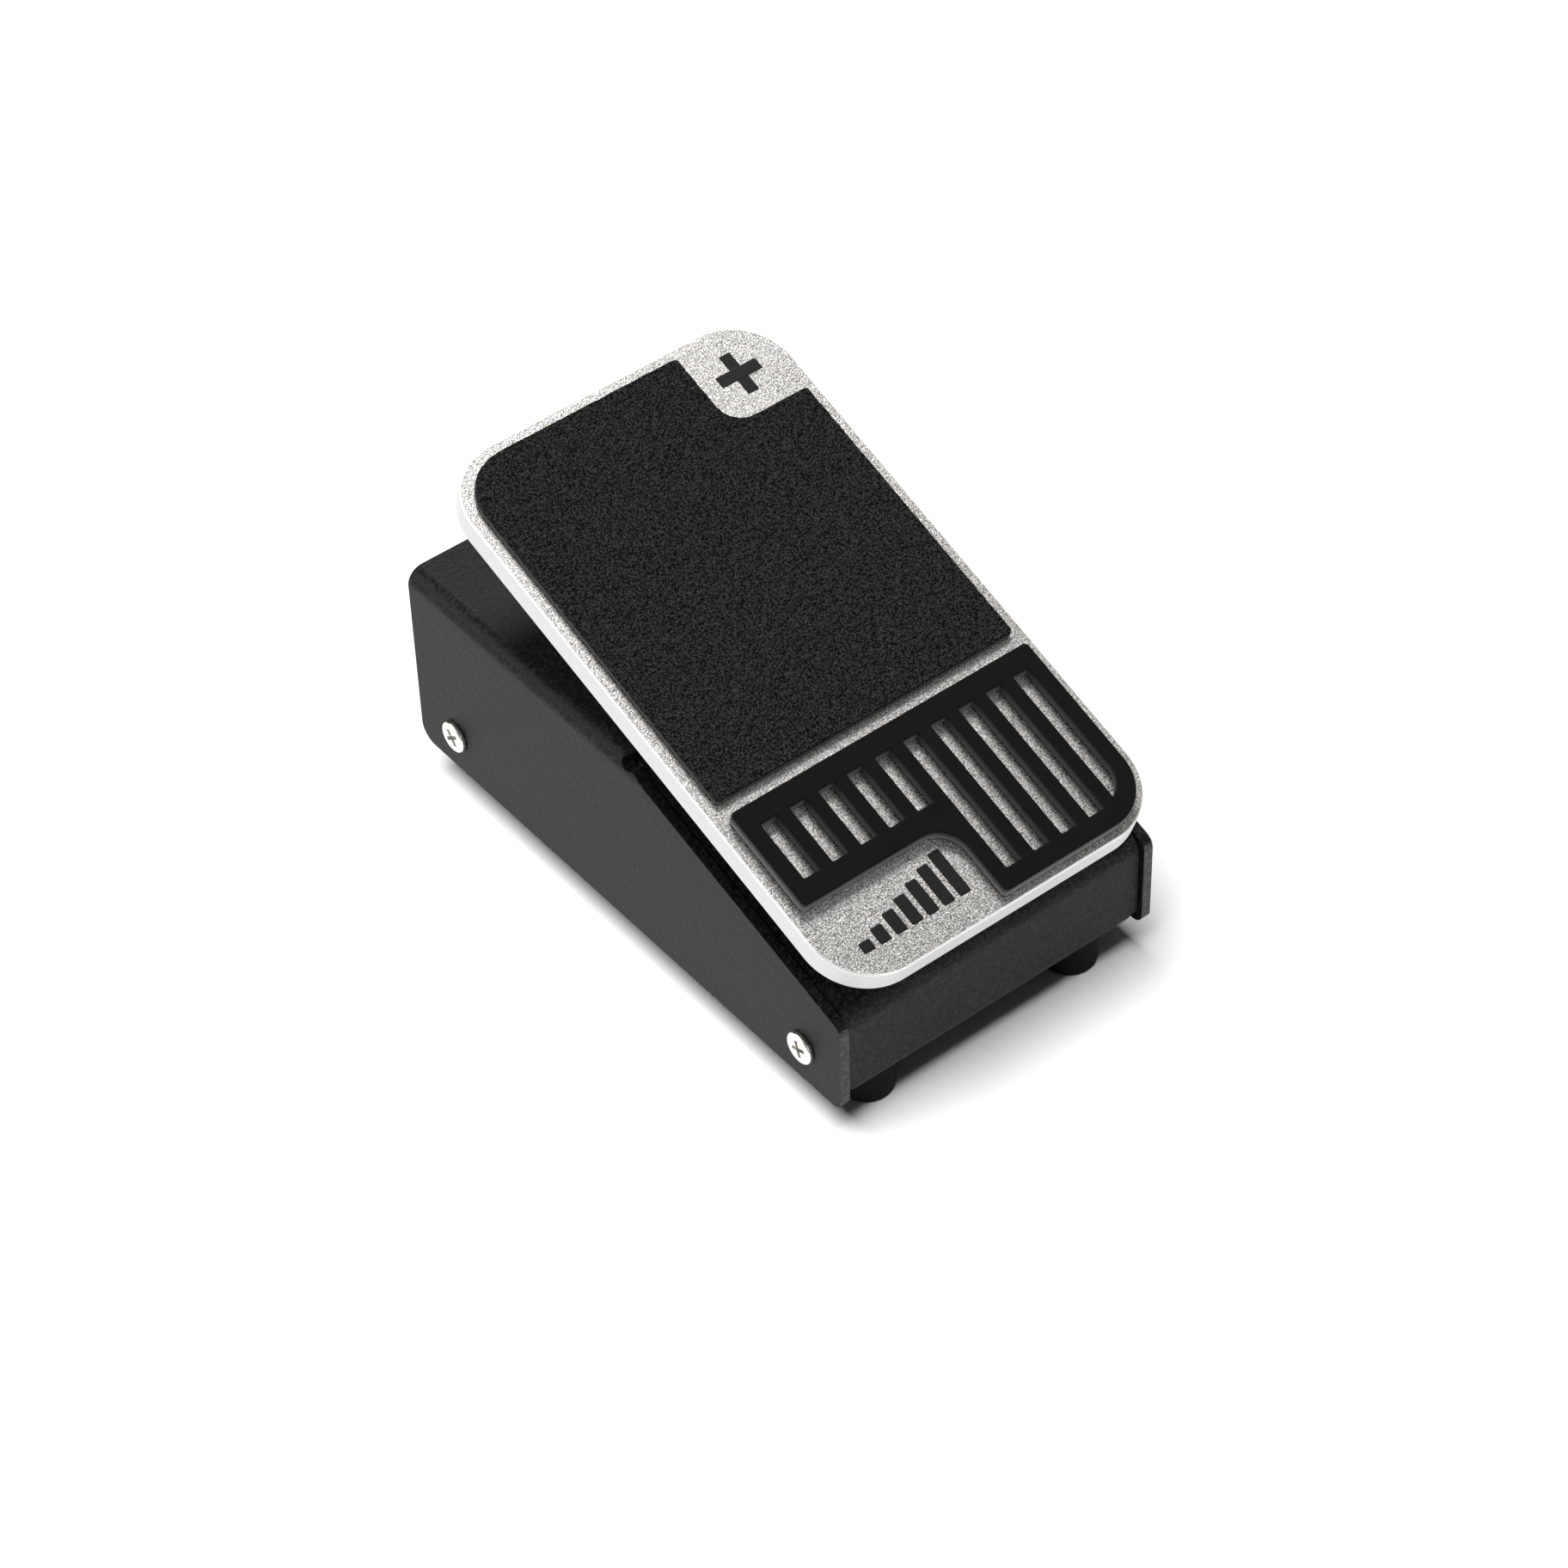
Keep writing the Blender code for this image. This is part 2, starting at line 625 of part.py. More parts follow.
def add_treadle_plate(empty):
    half = PLATE_WIDTH / 2
    outline = (
        (-half, PLATE_HEEL, PLATE_CORNER),
        (half, PLATE_HEEL, PLATE_CORNER),
        (half, PLATE_TOE, PLATE_CORNER),
        (-half, PLATE_TOE, PLATE_CORNER),
    )
    points = rounded_outline(outline, radians(8))
    under = PLATE_TOP - PLATE_THICKNESS
    plate = slab("treadle_plate", points, PLATE_THICKNESS, lifted(under), ALUMINIUM, PARTS)
    ride(plate, empty)
    for x, y in yoke_screw_places():
        hole = rod("cut_plate_hole", M3_HOLE, 4.1 * MM, placed((x, y, under - MM), (0, 0, 1)))
        cut(plate, ride(hole, empty))


def yoke_screw_places():
    return [(x, y) for x in (-8 * MM, 8 * MM) for y in (-4.5 * MM, 4.5 * MM)]


def add_grip_pad(empty):
    """Coarse pad over the toe end, its toe's right corner cut back to a bare window."""
    half = PLATE_WIDTH / 2 - PAD_MARGIN
    window_x, window_y = GRIP_WINDOW
    toe = PLATE_TOE - PAD_MARGIN
    outline = (
        (-half, GRIP_HEEL, 0.8 * MM),
        (half, GRIP_HEEL, 0.8 * MM),
        (half, window_y, 0.8 * MM),
        (window_x, window_y, 4.0 * MM),
        (window_x, toe, 0.8 * MM),
        (-half, toe, PLATE_CORNER - PAD_MARGIN),
    )
    points = rounded_outline(outline)
    seat = lifted(PLATE_TOP + TOUCH)
    ride(slab("grip_pad", points, GRIP_THICKNESS, seat, GRIT, PARTS), empty)


def slot_points(index):
    """Outline of one slot in the heel pad. The last one's heel end follows the pad's rounded corner."""
    middle = (index - (SLOT_COUNT - 1) / 2) * SLOT_PITCH + SLOT_SHIFT
    left, right = middle - SLOT_WIDTH / 2, middle + SLOT_WIDTH / 2
    heel = SHORT_SLOT_HEEL if index < SLOT_COUNT // 2 else LONG_SLOT_HEEL
    if index < SLOT_COUNT - 1:
        heel_end = [(left, heel), (right, heel)]
    else:
        centre_x = PLATE_WIDTH / 2 - PLATE_CORNER
        centre_y = PLATE_HEEL + PLATE_CORNER
        heel_end = [
            (x, centre_y - sqrt(SLOT_ARC**2 - (x - centre_x) ** 2))
            for x in (left, (left * 3 + right) / 4, (left + right) / 2, (left + right * 3) / 4, right)
        ]
    return heel_end + [(right, SLOT_TOE), (left, SLOT_TOE)]


def add_heel_pad(empty):
    """Smooth slotted pad over the heel end, its heel's left corner cut back to a bare label area."""
    half = PLATE_WIDTH / 2 - PAD_MARGIN
    step_x, step_y = HEEL_PAD_STEP
    heel = PLATE_HEEL + 1.3 * MM
    outline = (
        (step_x, heel, 0.8 * MM),
        (half, heel, PLATE_CORNER - PAD_MARGIN),
        (half, HEEL_PAD_TOE, 0.8 * MM),
        (-half, HEEL_PAD_TOE, 0.8 * MM),
        (-half, step_y, 0.8 * MM),
        (step_x, step_y, 5.0 * MM),
    )
    seat = PLATE_TOP + TOUCH
    pad = slab("heel_pad", rounded_outline(outline), HEEL_PAD_THICKNESS, lifted(seat), RUBBER, PARTS)
    ride(pad, empty)
    for index in range(SLOT_COUNT):
        cutter = slab("cut_slot", slot_points(index), 2 * HEEL_PAD_THICKNESS, lifted(seat - MM))
        cut(pad, ride(cutter, empty))


def add_yoke(empty, screw):
    """Folded steel yoke: a plate screwed under the treadle and two arms down to the axle."""
    plate_top = PLATE_TOP - PLATE_THICKNESS - TOUCH
    plate_under = plate_top - ARM_SHEET
    outer = ARM_INNER + ARM_SHEET
    yoke = box("treadle_yoke", (-outer, -8 * MM, plate_under), (outer, 8 * MM, plate_top), STEEL, PARTS)
    ride(yoke, empty)
    foot = -4.6 * MM
    for side, sign in SIDES:
        outline = (
            (-ARM_HALF, foot, 3.8 * MM),
            (ARM_HALF, foot, 3.8 * MM),
            (ARM_HALF, plate_top - 0.4 * MM, 0),
            (-ARM_HALF, plate_top - 0.4 * MM, 0),
        )
        x = ARM_INNER if sign > 0 else -outer
        arm = slab("join_arm_" + side, rounded_outline(outline), ARM_SHEET, side_view(x))
        join(yoke, ride(arm, empty))
    start = placed((-2 * outer, 0, 0), (1, 0, 0))
    cut(yoke, ride(rod("cut_yoke_bore", AXLE_BORE, 4 * outer, start, sides=ROUND_STEPS), empty))
    for number, (x, y) in enumerate(yoke_screw_places(), 1):
        hole = rod("cut_yoke_hole", M3_HOLE, 4 * MM, placed((x, y, plate_under - MM), (0, 0, 1)))
        cut(yoke, ride(hole, empty))
        seat = (x, y, plate_under - TOUCH)
        ride(add_screw(f"yoke_screw_{number}", screw, seat, (0, 0, -1), STEEL), empty)


def add_axle(empty):
    """Steel axle with a groove near each end for its retaining clip."""
    end = 23.4 * MM
    groove_low, groove_high = 21.2 * MM, 22.1 * MM
    groove = 2.0 * MM
    half_profile = (
        (0, end),
        (AXLE_RADIUS - 0.3 * MM, end),
        (AXLE_RADIUS, end - 0.3 * MM),
        (AXLE_RADIUS, groove_high),
        (groove, groove_high),
        (groove, groove_low),
        (AXLE_RADIUS, groove_low),
    )
    profile = half_profile + tuple((radius, -height) for radius, height in half_profile[::-1])
    across = placed((0, 0, 0), (1, 0, 0))
    ride(turned("treadle_axle", profile, across, STEEL, PARTS, ROUND_STEPS), empty)
    inner, outer = groove + 0.06 * MM, 4.2 * MM
    mouth = radians(40)
    count = 16
    angles = [mouth + (2 * pi - 2 * mouth) * k / count for k in range(count + 1)]
    points = [(cos(a) * outer, sin(a) * outer) for a in angles]
    points += [(cos(a) * inner, sin(a) * inner) for a in reversed(angles)]
    thickness = groove_high - groove_low - 0.2 * MM
    for side, sign in SIDES:
        x = groove_low + 0.1 * MM if sign > 0 else -groove_high + 0.1 * MM
        ride(slab("axle_clip_" + side, points, thickness, side_view(x), STEEL, PARTS), empty)


# ---------------------------------------------------------------- gears
def involute_tooth(teeth, addendum, dedendum):
    """Half outline of one tooth as (radius, half angle) from its root to its tip."""
    pitch = MODULE * teeth / 2
    base = pitch * cos(PRESSURE_ANGLE)
    half_at_pitch = pi / (2 * teeth) - BACKLASH / 4 / pitch
    involute_at_pitch = tan(PRESSURE_ANGLE) - PRESSURE_ANGLE
    root, tip = pitch - dedendum, pitch + addendum
    start = max(base, root)
    flank = []
    for k in range(5):
        radius = start + (tip - start) * k / 4
        roll = acos(base / radius) if radius > base else 0.0
        flank.append((radius, half_at_pitch + involute_at_pitch - (tan(roll) - roll)))
    if root < base:
        flank.insert(0, (root, flank[0][1] + 0.01))
    return flank


def tooth_points(flank, centre_angle):
    """The tooth's outline, anticlockwise, about a centre line at the given angle."""
    rising = [(radius, centre_angle - half) for radius, half in flank]
    falling = [(radius, centre_angle + half) for radius, half in reversed(flank)]
    return [(radius * cos(angle), radius * sin(angle)) for radius, angle in rising + falling]


def add_gear_sector(empty):
    """Toothed sector on the axle. A tooth space faces the pinion at rest."""
    pitch_step = 2 * pi / SECTOR_TEETH
    mesh_angle = MESH_ANGLE - TREADLE_TILT
    flank = involute_tooth(SECTOR_TEETH, 0.6 * MM, 1.15 * MM)
    points = []
    for k in range(-1, 5):
        points += tooth_points(flank, mesh_angle + (k - 0.5) * pitch_step)
    middle = mesh_angle + 1.5 * pitch_step
    for turn in (radians(110), -radians(110)):
        points.append((4.5 * MM * cos(middle + turn), 4.5 * MM * sin(middle + turn)))
    half = 1.5 * MM
    sector = slab("gear_sector", points, 2 * half, side_view(-half), BRASS, PARTS)
    ride(sector, empty)
    hub_end = 5.2 * MM
    hub_start = placed((0.2 * MM - half, 0, 0), (1, 0, 0))
    hub = rod("join_hub", 6 * MM, half + hub_end, hub_start, sides=24)
    join(sector, ride(hub, empty))
    bore_start = placed((-10 * MM, 0, 0), (1, 0, 0))
    bore = rod("cut_hub_bore", AXLE_BORE, 20 * MM, bore_start, sides=ROUND_STEPS)
    set_x = 3.6 * MM
    thread = rod("cut_set_thread", 1.3 * MM, 8 * MM, placed((set_x, 0, 0), (0, -1, 0)), sides=12)
    cut(sector, ride(bore, empty), ride(thread, empty))
    seat_y = -AXLE_RADIUS - TOUCH
    seat = placed((set_x, seat_y, 0), (0, -1, 0))
    screw = ride(rod("sector_set_screw", 1.2 * MM, 3.2 * MM, seat, STEEL, PARTS, 12), empty)
    key_start = placed((set_x, seat_y - 1.8 * MM, 0), (0, -1, 0))
    cut(screw, ride(rod("cut_set_key", 0.6 * MM, 2 * MM, key_start, sides=6), empty))


def add_pinion():
    """Brass pinion pressed on the potentiometer's shaft, with one tooth towards the axle."""
    empty = bpy.data.objects.new("pot_axis", None)
    PARTS.objects.link(empty)
    empty.matrix_world = Matrix.Translation(POT)
    flank = involute_tooth(PINION_TEETH, 0.9 * MM, 0.85 * MM)
    points = []
    for k in range(PINION_TEETH):
        points += tooth_points(flank, MESH_ANGLE + pi + k * 2 * pi / PINION_TEETH)
    half = 2.0 * MM
    pinion = slab("pot_pinion", points, 2 * half, side_view(-half), BRASS, PARTS)
    ride(pinion, empty)
    bore_start = placed((-5 * MM, 0, 0), (1, 0, 0))
    cut(pinion, ride(rod("cut_pinion_bore", POT_BORE, 10 * MM, bore_start, sides=ROUND_STEPS), empty))
    shaft_start, shaft_end = -2.4 * MM, POT_EAR_X + 6.2 * MM
    profile = (
        (0, shaft_end),
        (POT_SHAFT_RADIUS, shaft_end),
        (POT_SHAFT_RADIUS, shaft_start + 0.4 * MM),
        (POT_SHAFT_RADIUS - 0.4 * MM, shaft_start),
        (0, shaft_start),
    )
    across = placed((0, 0, 0), (1, 0, 0))
    ride(turned("pot_shaft", profile, across, STEEL, PARTS, ROUND_STEPS), empty)


# ---------------------------------------------------------------- electrics
def hex_nut(name, bore, across_flats, thickness, matrix, material):
    radius = across_flats / 2 / cos(pi / 6)
    nut = rod(name, radius, thickness, matrix, material, PARTS, 6)
    inside = matrix @ Matrix.Translation((0, 0, -MM))
    return cut(nut, rod("cut_" + name, bore, thickness + 2 * MM, inside, sides=24))


def washer(name, bore, radius, thickness, matrix, material):
    profile = ((bore, thickness), (radius, thickness), (radius, 0), (bore, 0))
    return turned(name, profile, matrix, material, PARTS, 24, True)


def add_potentiometer():
    """Rotary potentiometer behind its ear: can, threaded bush, washer, nut and three lugs."""
    ear_back = POT_EAR_X + FRAME_SHEET + TOUCH
    bush_end = POT_EAR_X - 2.6 * MM
    can_end = ear_back + 7.0 * MM
    profile = (
        (0, can_end),
        (7.4 * MM, can_end),
        (8.0 * MM, can_end - 0.6 * MM),
        (8.0 * MM, ear_back),
        (POT_BUSH_RADIUS, ear_back),
        (POT_BUSH_RADIUS, bush_end),
        (POT_BORE, bush_end),
        (POT_BORE, POT_EAR_X + 6.4 * MM),
        (0, POT_EAR_X + 6.4 * MM),
    )
    can = turned("pot_body", profile, placed((0, POT.y, POT.z), (1, 0, 0)), STEEL, PARTS, 32)
    for lug in range(3):
        y = POT.y + (lug - 1) * 4.5 * MM
        join(
            can,
            box(
                f"join_lug_{lug}",
                (ear_back + 2.0 * MM, y - 0.8 * MM, POT.z + 5 * MM),
                (ear_back + 2.6 * MM, y + 0.8 * MM, POT.z + 11 * MM),
            ),
        )
    washer_x = POT_EAR_X - TOUCH
    out = placed((washer_x, POT.y, POT.z), (-1, 0, 0))
    washer("pot_washer", POT_BUSH_RADIUS + 0.1 * MM, 5.2 * MM, 0.4 * MM, out, STEEL)
    nut_frame = placed((washer_x - 0.5 * MM, POT.y, POT.z), (-1, 0, 0))
    hex_nut("pot_nut", POT_BUSH_RADIUS + 0.1 * MM, 10 * MM, 1.6 * MM, nut_frame, STEEL)


def add_jacks():
    """Two 6.35 mm jack sockets through the toe wall, each with a washer and a hexagonal nut."""
    wall_outer = TOE_Y - CHASSIS_INSET
    wall_inner = wall_outer - CHASSIS_SHEET
    bush_end = TOE_Y + JACK_REACH
    for side, sign in SIDES:
        x = sign * JACK_X
        name = "input" if sign > 0 else "output"
        body = box(
            f"jack_{name}",
            (x - 7.5 * MM, wall_inner - TOUCH - JACK_BODY, JACK_Z - 6.4 * MM),
            (x + 7.5 * MM, wall_inner - TOUCH, JACK_Z + 6.0 * MM),
            PLASTIC,
            PARTS,
        )
        bush_y = wall_inner - MM
        bush_start = placed((x, bush_y, JACK_Z), (0, 1, 0))
        bush = rod(f"join_bush_{name}", JACK_BUSH_RADIUS, bush_end - bush_y, bush_start, sides=24)
        bore_y = wall_inner - TOUCH - JACK_BODY + 1.5 * MM
        bore_start = placed((x, bore_y, JACK_Z), (0, 1, 0))
        bore = rod(f"cut_bore_{name}", JACK_BORE, bush_end - bore_y + MM, bore_start, sides=24)
        cut(join(body, bush), bore)
        seat = placed((x, wall_outer + TOUCH, JACK_Z), (0, 1, 0))
        washer(f"jack_washer_{name}", JACK_BUSH_RADIUS + 0.1 * MM, 6.6 * MM, 0.5 * MM, seat, NICKEL)
        nut_seat = placed((x, wall_outer + TOUCH * 2 + 0.5 * MM, JACK_Z), (0, 1, 0))
        hex_nut(f"jack_nut_{name}", JACK_BUSH_RADIUS + 0.1 * MM, 12 * MM, 2.0 * MM, nut_seat, NICKEL)


def add_board():
    """Circuit board that the two jack sockets stand on."""
    top = JACK_Z - 6.4 * MM - TOUCH
    toe = TOE_Y - CHASSIS_INSET - CHASSIS_SHEET - 0.6 * MM
    box(
        "circuit_board",
        (-22 * MM, toe - BOARD_LENGTH, top - BOARD_THICKNESS),
        (22 * MM, toe, top),
        BOARD,
        PARTS,
    )
    return top, toe - BOARD_LENGTH


def add_wires(board_top, board_heel):
    """Three insulated wires from the potentiometer's lugs over to the board."""
    lug_x = POT_EAR_X + FRAME_SHEET + TOUCH + 2.3 * MM
    for number in range(3):
        start = Vector((lug_x, POT.y + (number - 1) * 4.5 * MM, POT.z + 11.7 * MM))
        end = Vector(((number - 1) * 2.5 * MM, board_heel + 5 * MM, board_top + 0.7 * MM))
        curve = bpy.data.curves.new(f"pot_wire_{number + 1}", "CURVE")
        curve.dimensions = "3D"
        curve.bevel_depth = 0.55 * MM
        curve.bevel_resolution = 2
        curve.use_fill_caps = True
        spline = curve.splines.new("POLY")
        count = 14
        spline.points.add(count)
        rise, leave = start + Vector((0, 0, 6 * MM)), end + Vector((0, 0, 12 * MM))
        for k, point in enumerate(spline.points):
            t = k / count
            place = (
                start * (1 - t) ** 3 + rise * 3 * t * (1 - t) ** 2 + leave * 3 * t**2 * (1 - t) + end * t**3
            )
            point.co = (*place, 1)
        link(f"pot_wire_{number + 1}", curve, WIRE, PARTS)


# ---------------------------------------------------------------- stops
def add_bumpers():
    """Rubber stops: two on the slope under the treadle's heel and two on the flat top under its toe."""
    heel_y = HEEL_Y + 8 * MM
    up_slope = Vector((0, -sin(SLOPE), cos(SLOPE)))
    toe_y = HEEL_Y + 94 * MM
    for side, sign in SIDES:
        on_slope = Vector((sign * 17 * MM, heel_y, slope_z(heel_y, SLOPE_DROP))) + up_slope * TOUCH
        bumper("heel_bumper_" + side, on_slope, up_slope, HEEL_BUMPER)
        on_top = Vector((sign * 10 * MM, toe_y, TOP_Z + TOUCH))
        bumper("toe_bumper_" + side, on_top, (0, 0, 1), TOE_BUMPER)


def bumper(name, seat, out, height):
    profile = ((0, height), (3.2 * MM, height), (4 * MM, height - 0.8 * MM), (4 * MM, 0), (0, 0))
    turned(name, profile, placed(seat, out), RUBBER, PARTS, 20)


def shade_pieces():
    """Turns each piece's modifiers into its mesh and shades its round surfaces smooth."""
    bpy.context.view_layer.update()
    graph = bpy.context.evaluated_depsgraph_get()
    pieces = [obj for obj in PARTS.objects if obj.type == "MESH"]
    changed = [obj for obj in pieces if obj.modifiers]
    meshes = [bpy.data.meshes.new_from_object(obj.evaluated_get(graph)) for obj in changed]
    for obj, mesh in zip(changed, meshes):
        obj.modifiers.clear()
        obj.data = mesh
    for mesh in {obj.data for obj in pieces}:
        mesh.shade_smooth()
        mesh.set_sharp_from_angle(angle=radians(35))


def main():
    side_screw = screw_mesh(2.8 * MM, 1.0 * MM, 7.5 * MM, 20)
    foot_screw = screw_mesh(2.35 * MM, 1.4 * MM, 5.2 * MM, 12)
    frame_screw = screw_mesh(2.8 * MM, 1.4 * MM, 4.0 * MM, 12)
    yoke_screw = screw_mesh(2.6 * MM, 1.3 * MM, 4.4 * MM, 12)
    add_cover()
    add_chassis()
    add_side_screws(side_screw)
    add_feet(foot_screw)
    add_mechanism_frame(frame_screw)
    add_axle_bushes()
    treadle = add_treadle_empty()
    add_treadle_plate(treadle)
    add_grip_pad(treadle)
    add_heel_pad(treadle)
    add_yoke(treadle, yoke_screw)
    add_axle(treadle)
    add_gear_sector(treadle)
    add_pinion()
    add_potentiometer()
    add_jacks()
    add_wires(*add_board())
    add_bumpers()
    shade_pieces()


main()
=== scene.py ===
"""Looks of the volume pedal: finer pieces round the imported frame, materials, floor, lights and camera."""

import json
from math import atan2, ceil, cos, pi, radians, sin, sqrt, tan

import bmesh
import bpy
import numpy as np
from mathutils import Matrix, Vector, noise


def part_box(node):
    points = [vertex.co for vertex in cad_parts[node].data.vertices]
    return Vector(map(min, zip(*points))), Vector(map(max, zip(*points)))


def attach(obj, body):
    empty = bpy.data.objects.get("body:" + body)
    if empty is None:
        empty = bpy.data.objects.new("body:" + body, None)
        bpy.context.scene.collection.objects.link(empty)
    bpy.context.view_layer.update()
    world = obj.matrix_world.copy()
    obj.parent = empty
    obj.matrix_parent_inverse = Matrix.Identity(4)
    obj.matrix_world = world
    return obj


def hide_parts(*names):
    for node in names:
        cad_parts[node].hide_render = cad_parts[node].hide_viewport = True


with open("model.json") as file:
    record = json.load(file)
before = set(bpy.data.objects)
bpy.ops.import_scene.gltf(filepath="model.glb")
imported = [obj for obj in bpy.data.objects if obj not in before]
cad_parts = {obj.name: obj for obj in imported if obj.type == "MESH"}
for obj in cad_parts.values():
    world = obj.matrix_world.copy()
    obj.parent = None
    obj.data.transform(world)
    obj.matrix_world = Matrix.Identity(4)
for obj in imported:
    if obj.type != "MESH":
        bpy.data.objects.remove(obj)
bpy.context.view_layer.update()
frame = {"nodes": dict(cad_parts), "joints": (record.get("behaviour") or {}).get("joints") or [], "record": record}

MM = 0.001
NODES = frame["nodes"]
BODY_OF = {node: body for body, nodes in frame["record"]["behaviour"]["bodies"].items() for node in nodes}
SLOT_OF = {entry["node"]: entry["material_slot"] for entry in frame["record"]["subparts"]}
SIDES = (("left", -1), ("right", 1))
ENDS = (("heel", -1), ("toe", 1))
CROSS_DEPTH = 1.5 * MM
SCREW_TURNS = (17, 63, 38, 5)  # degrees, so that no two neighbours stand alike


# ---------------------------------------------------------------- node graphs
class Graph:
    """A material's node tree, with short calls for the nodes that the finishes share."""

    def __init__(self, name):
        self.material = bpy.data.materials.new(name)
        self.material.use_nodes = True
        self.nodes = self.material.node_tree.nodes
        self.links = self.material.node_tree.links
        self.shader = self.nodes["Principled BSDF"]
        self.place = self.add("ShaderNodeTexCoord").outputs["Object"]

    def add(self, kind, **settings):
        node = self.nodes.new(kind)
        for key, value in settings.items():
            setattr(node, key, value)
        return node

    def feed(self, socket, value):
        if isinstance(value, bpy.types.NodeSocket):
            self.links.new(value, socket)
        else:
            socket.default_value = value

    def noise(self, size, detail=2.0, roughness=0.5, place=None):
        """Noise from 0 to 1 whose grains are about size metres across."""
        node = self.add("ShaderNodeTexNoise")
        self.feed(node.inputs["Vector"], place or self.place)
        node.inputs["Scale"].default_value = 1 / size
        node.inputs["Detail"].default_value = detail
        node.inputs["Roughness"].default_value = roughness
        return node.outputs["Fac"]

    def cells(self, size, feature="F1", output="Distance"):
        node = self.add("ShaderNodeTexVoronoi", feature=feature)
        self.feed(node.inputs["Vector"], self.place)
        node.inputs["Scale"].default_value = 1 / size
        return node.outputs[output]

    def ramp(self, value, *stops):
        """A colour ramp through (position, grey or colour) stops."""
        node = self.add("ShaderNodeValToRGB")
        self.feed(node.inputs["Fac"], value)
        elements = node.color_ramp.elements
        while len(elements) < len(stops):
            elements.new(0.5)
        for element, (position, colour) in zip(elements, stops):
            element.position = position
            element.color = (*colour, 1) if isinstance(colour, tuple) else (colour, colour, colour, 1)
        return node.outputs["Color"]

    def spread(self, value, low, high, out_low=0.0, out_high=1.0):
        node = self.add("ShaderNodeMapRange", interpolation_type="SMOOTHSTEP")
        sockets = ("Value", "From Min", "From Max", "To Min", "To Max")
        for socket, item in zip(sockets, (value, low, high, out_low, out_high)):
            self.feed(node.inputs[socket], item)
        return node.outputs["Result"]

    def maths(self, operation, a, b=0.0):
        node = self.add("ShaderNodeMath", operation=operation)
        self.feed(node.inputs[0], a)
        self.feed(node.inputs[1], b)
        return node.outputs[0]

    def mix(self, share, a, b):
        node = self.add("ShaderNodeMix", data_type="RGBA")
        self.feed(node.inputs["Factor"], share)
        for socket, colour in (("A", a), ("B", b)):
            wanted = next(s for s in node.inputs if s.name == socket and s.type == "RGBA")
            self.feed(wanted, (*colour, 1) if isinstance(colour, tuple) else colour)
        return next(s for s in node.outputs if s.type == "RGBA")

    def bump(self, height, depth, strength=1.0, base=None):
        node = self.add("ShaderNodeBump")
        node.inputs["Strength"].default_value = strength
        node.inputs["Distance"].default_value = depth
        self.feed(node.inputs["Height"], height)
        if base is not None:
            self.feed(node.inputs["Normal"], base)
        return node.outputs["Normal"]

    def surface(self, colour, roughness, metallic=0.0, normal=None, **plain):
        inputs = self.shader.inputs
        self.feed(inputs["Base Color"], (*colour, 1) if isinstance(colour, tuple) else colour)
        self.feed(inputs["Roughness"], roughness)
        self.feed(inputs["Metallic"], metallic)
        if normal is not None:
            self.feed(inputs["Normal"], normal)
        for name, value in plain.items():
            inputs[name.replace("_", " ")].default_value = value
        return self.material


# ---------------------------------------------------------------- finishes
def powder_coat():
    """Satin black powder coat: fine orange peel; its lighter grains are partly grain tone and partly painted
    highlights on the peel's high points.
    """
    graph = Graph("powder_coat_black")
    grain = graph.noise(0.60 * MM, 2.0, 0.7)
    peel = graph.noise(1.3 * MM, 1.0)
    cloud = graph.noise(18 * MM, 2.0)
    # The ramp follows the grain that also raises the bump, so the high grains are lighter: partly grain tone,
    # partly painted highlights.
    shade = graph.ramp(grain, (0.34, 0.0020), (0.50, 0.0090), (0.66, 0.0280))
    shade = graph.mix(graph.spread(cloud, 0.3, 0.7, 0.0, 0.15), shade, (0.0100, 0.0098, 0.0098))
    normal = graph.bump(graph.maths("ADD", grain, graph.maths("MULTIPLY", peel, 0.6)), 0.07 * MM, 1.0)
    rough = graph.spread(grain, 0.3, 0.7, 0.40, 0.56)
    return graph.surface(shade, rough, 0.0, normal, Specular_IOR_Level=0.10)


def powder_coat_cut():
    """The powder coat over a sheared edge: rougher and lighter, with fine upright striations."""
    graph = Graph("powder_coat_cut_edge")
    squeezed = graph.add("ShaderNodeMapping")
    graph.feed(squeezed.inputs["Vector"], graph.place)
    squeezed.inputs["Scale"].default_value = (0.35, 1.0, 1.6)
    streak = graph.noise(0.30 * MM, 2.0, 0.6, squeezed.outputs["Vector"])
    shade = graph.ramp(streak, (0.34, 0.0100), (0.50, 0.0340), (0.68, 0.1000))
    normal = graph.bump(streak, 0.06 * MM, 1.0)
    rough = graph.spread(streak, 0.3, 0.7, 0.5, 0.7)
    return graph.surface(shade, rough, 0.0, normal, Specular_IOR_Level=0.25)


def blasted_aluminium():
    """Bead-blasted top of the treadle: coarse flecks of warm greys, partly grain tone and partly painted sparkle.
    """
    graph = Graph("aluminium_blasted")
    fleck_and_painted_sparkle = graph.noise(0.24 * MM, 1.0, 0.7)
    patch = graph.noise(14 * MM, 2.0)
    dark, middle, light = (0.160, 0.152, 0.142), (0.390, 0.380, 0.362), (0.78, 0.77, 0.75)
    # The fleck ramp from dark to near white paints the blasted facets' sparkle into the colour, as well as their
    # grain.
    tone = graph.ramp(fleck_and_painted_sparkle, (0.36, dark), (0.5, middle), (0.64, light))
    tone = graph.mix(graph.spread(patch, 0.3, 0.7, 0.0, 0.12), tone, (0.40, 0.39, 0.37))
    normal = graph.bump(fleck_and_painted_sparkle, 0.06 * MM, 0.8)
    rough = graph.spread(fleck_and_painted_sparkle, 0.3, 0.7, 0.34, 0.48)
    return graph.surface(tone, rough, 0.8, normal)


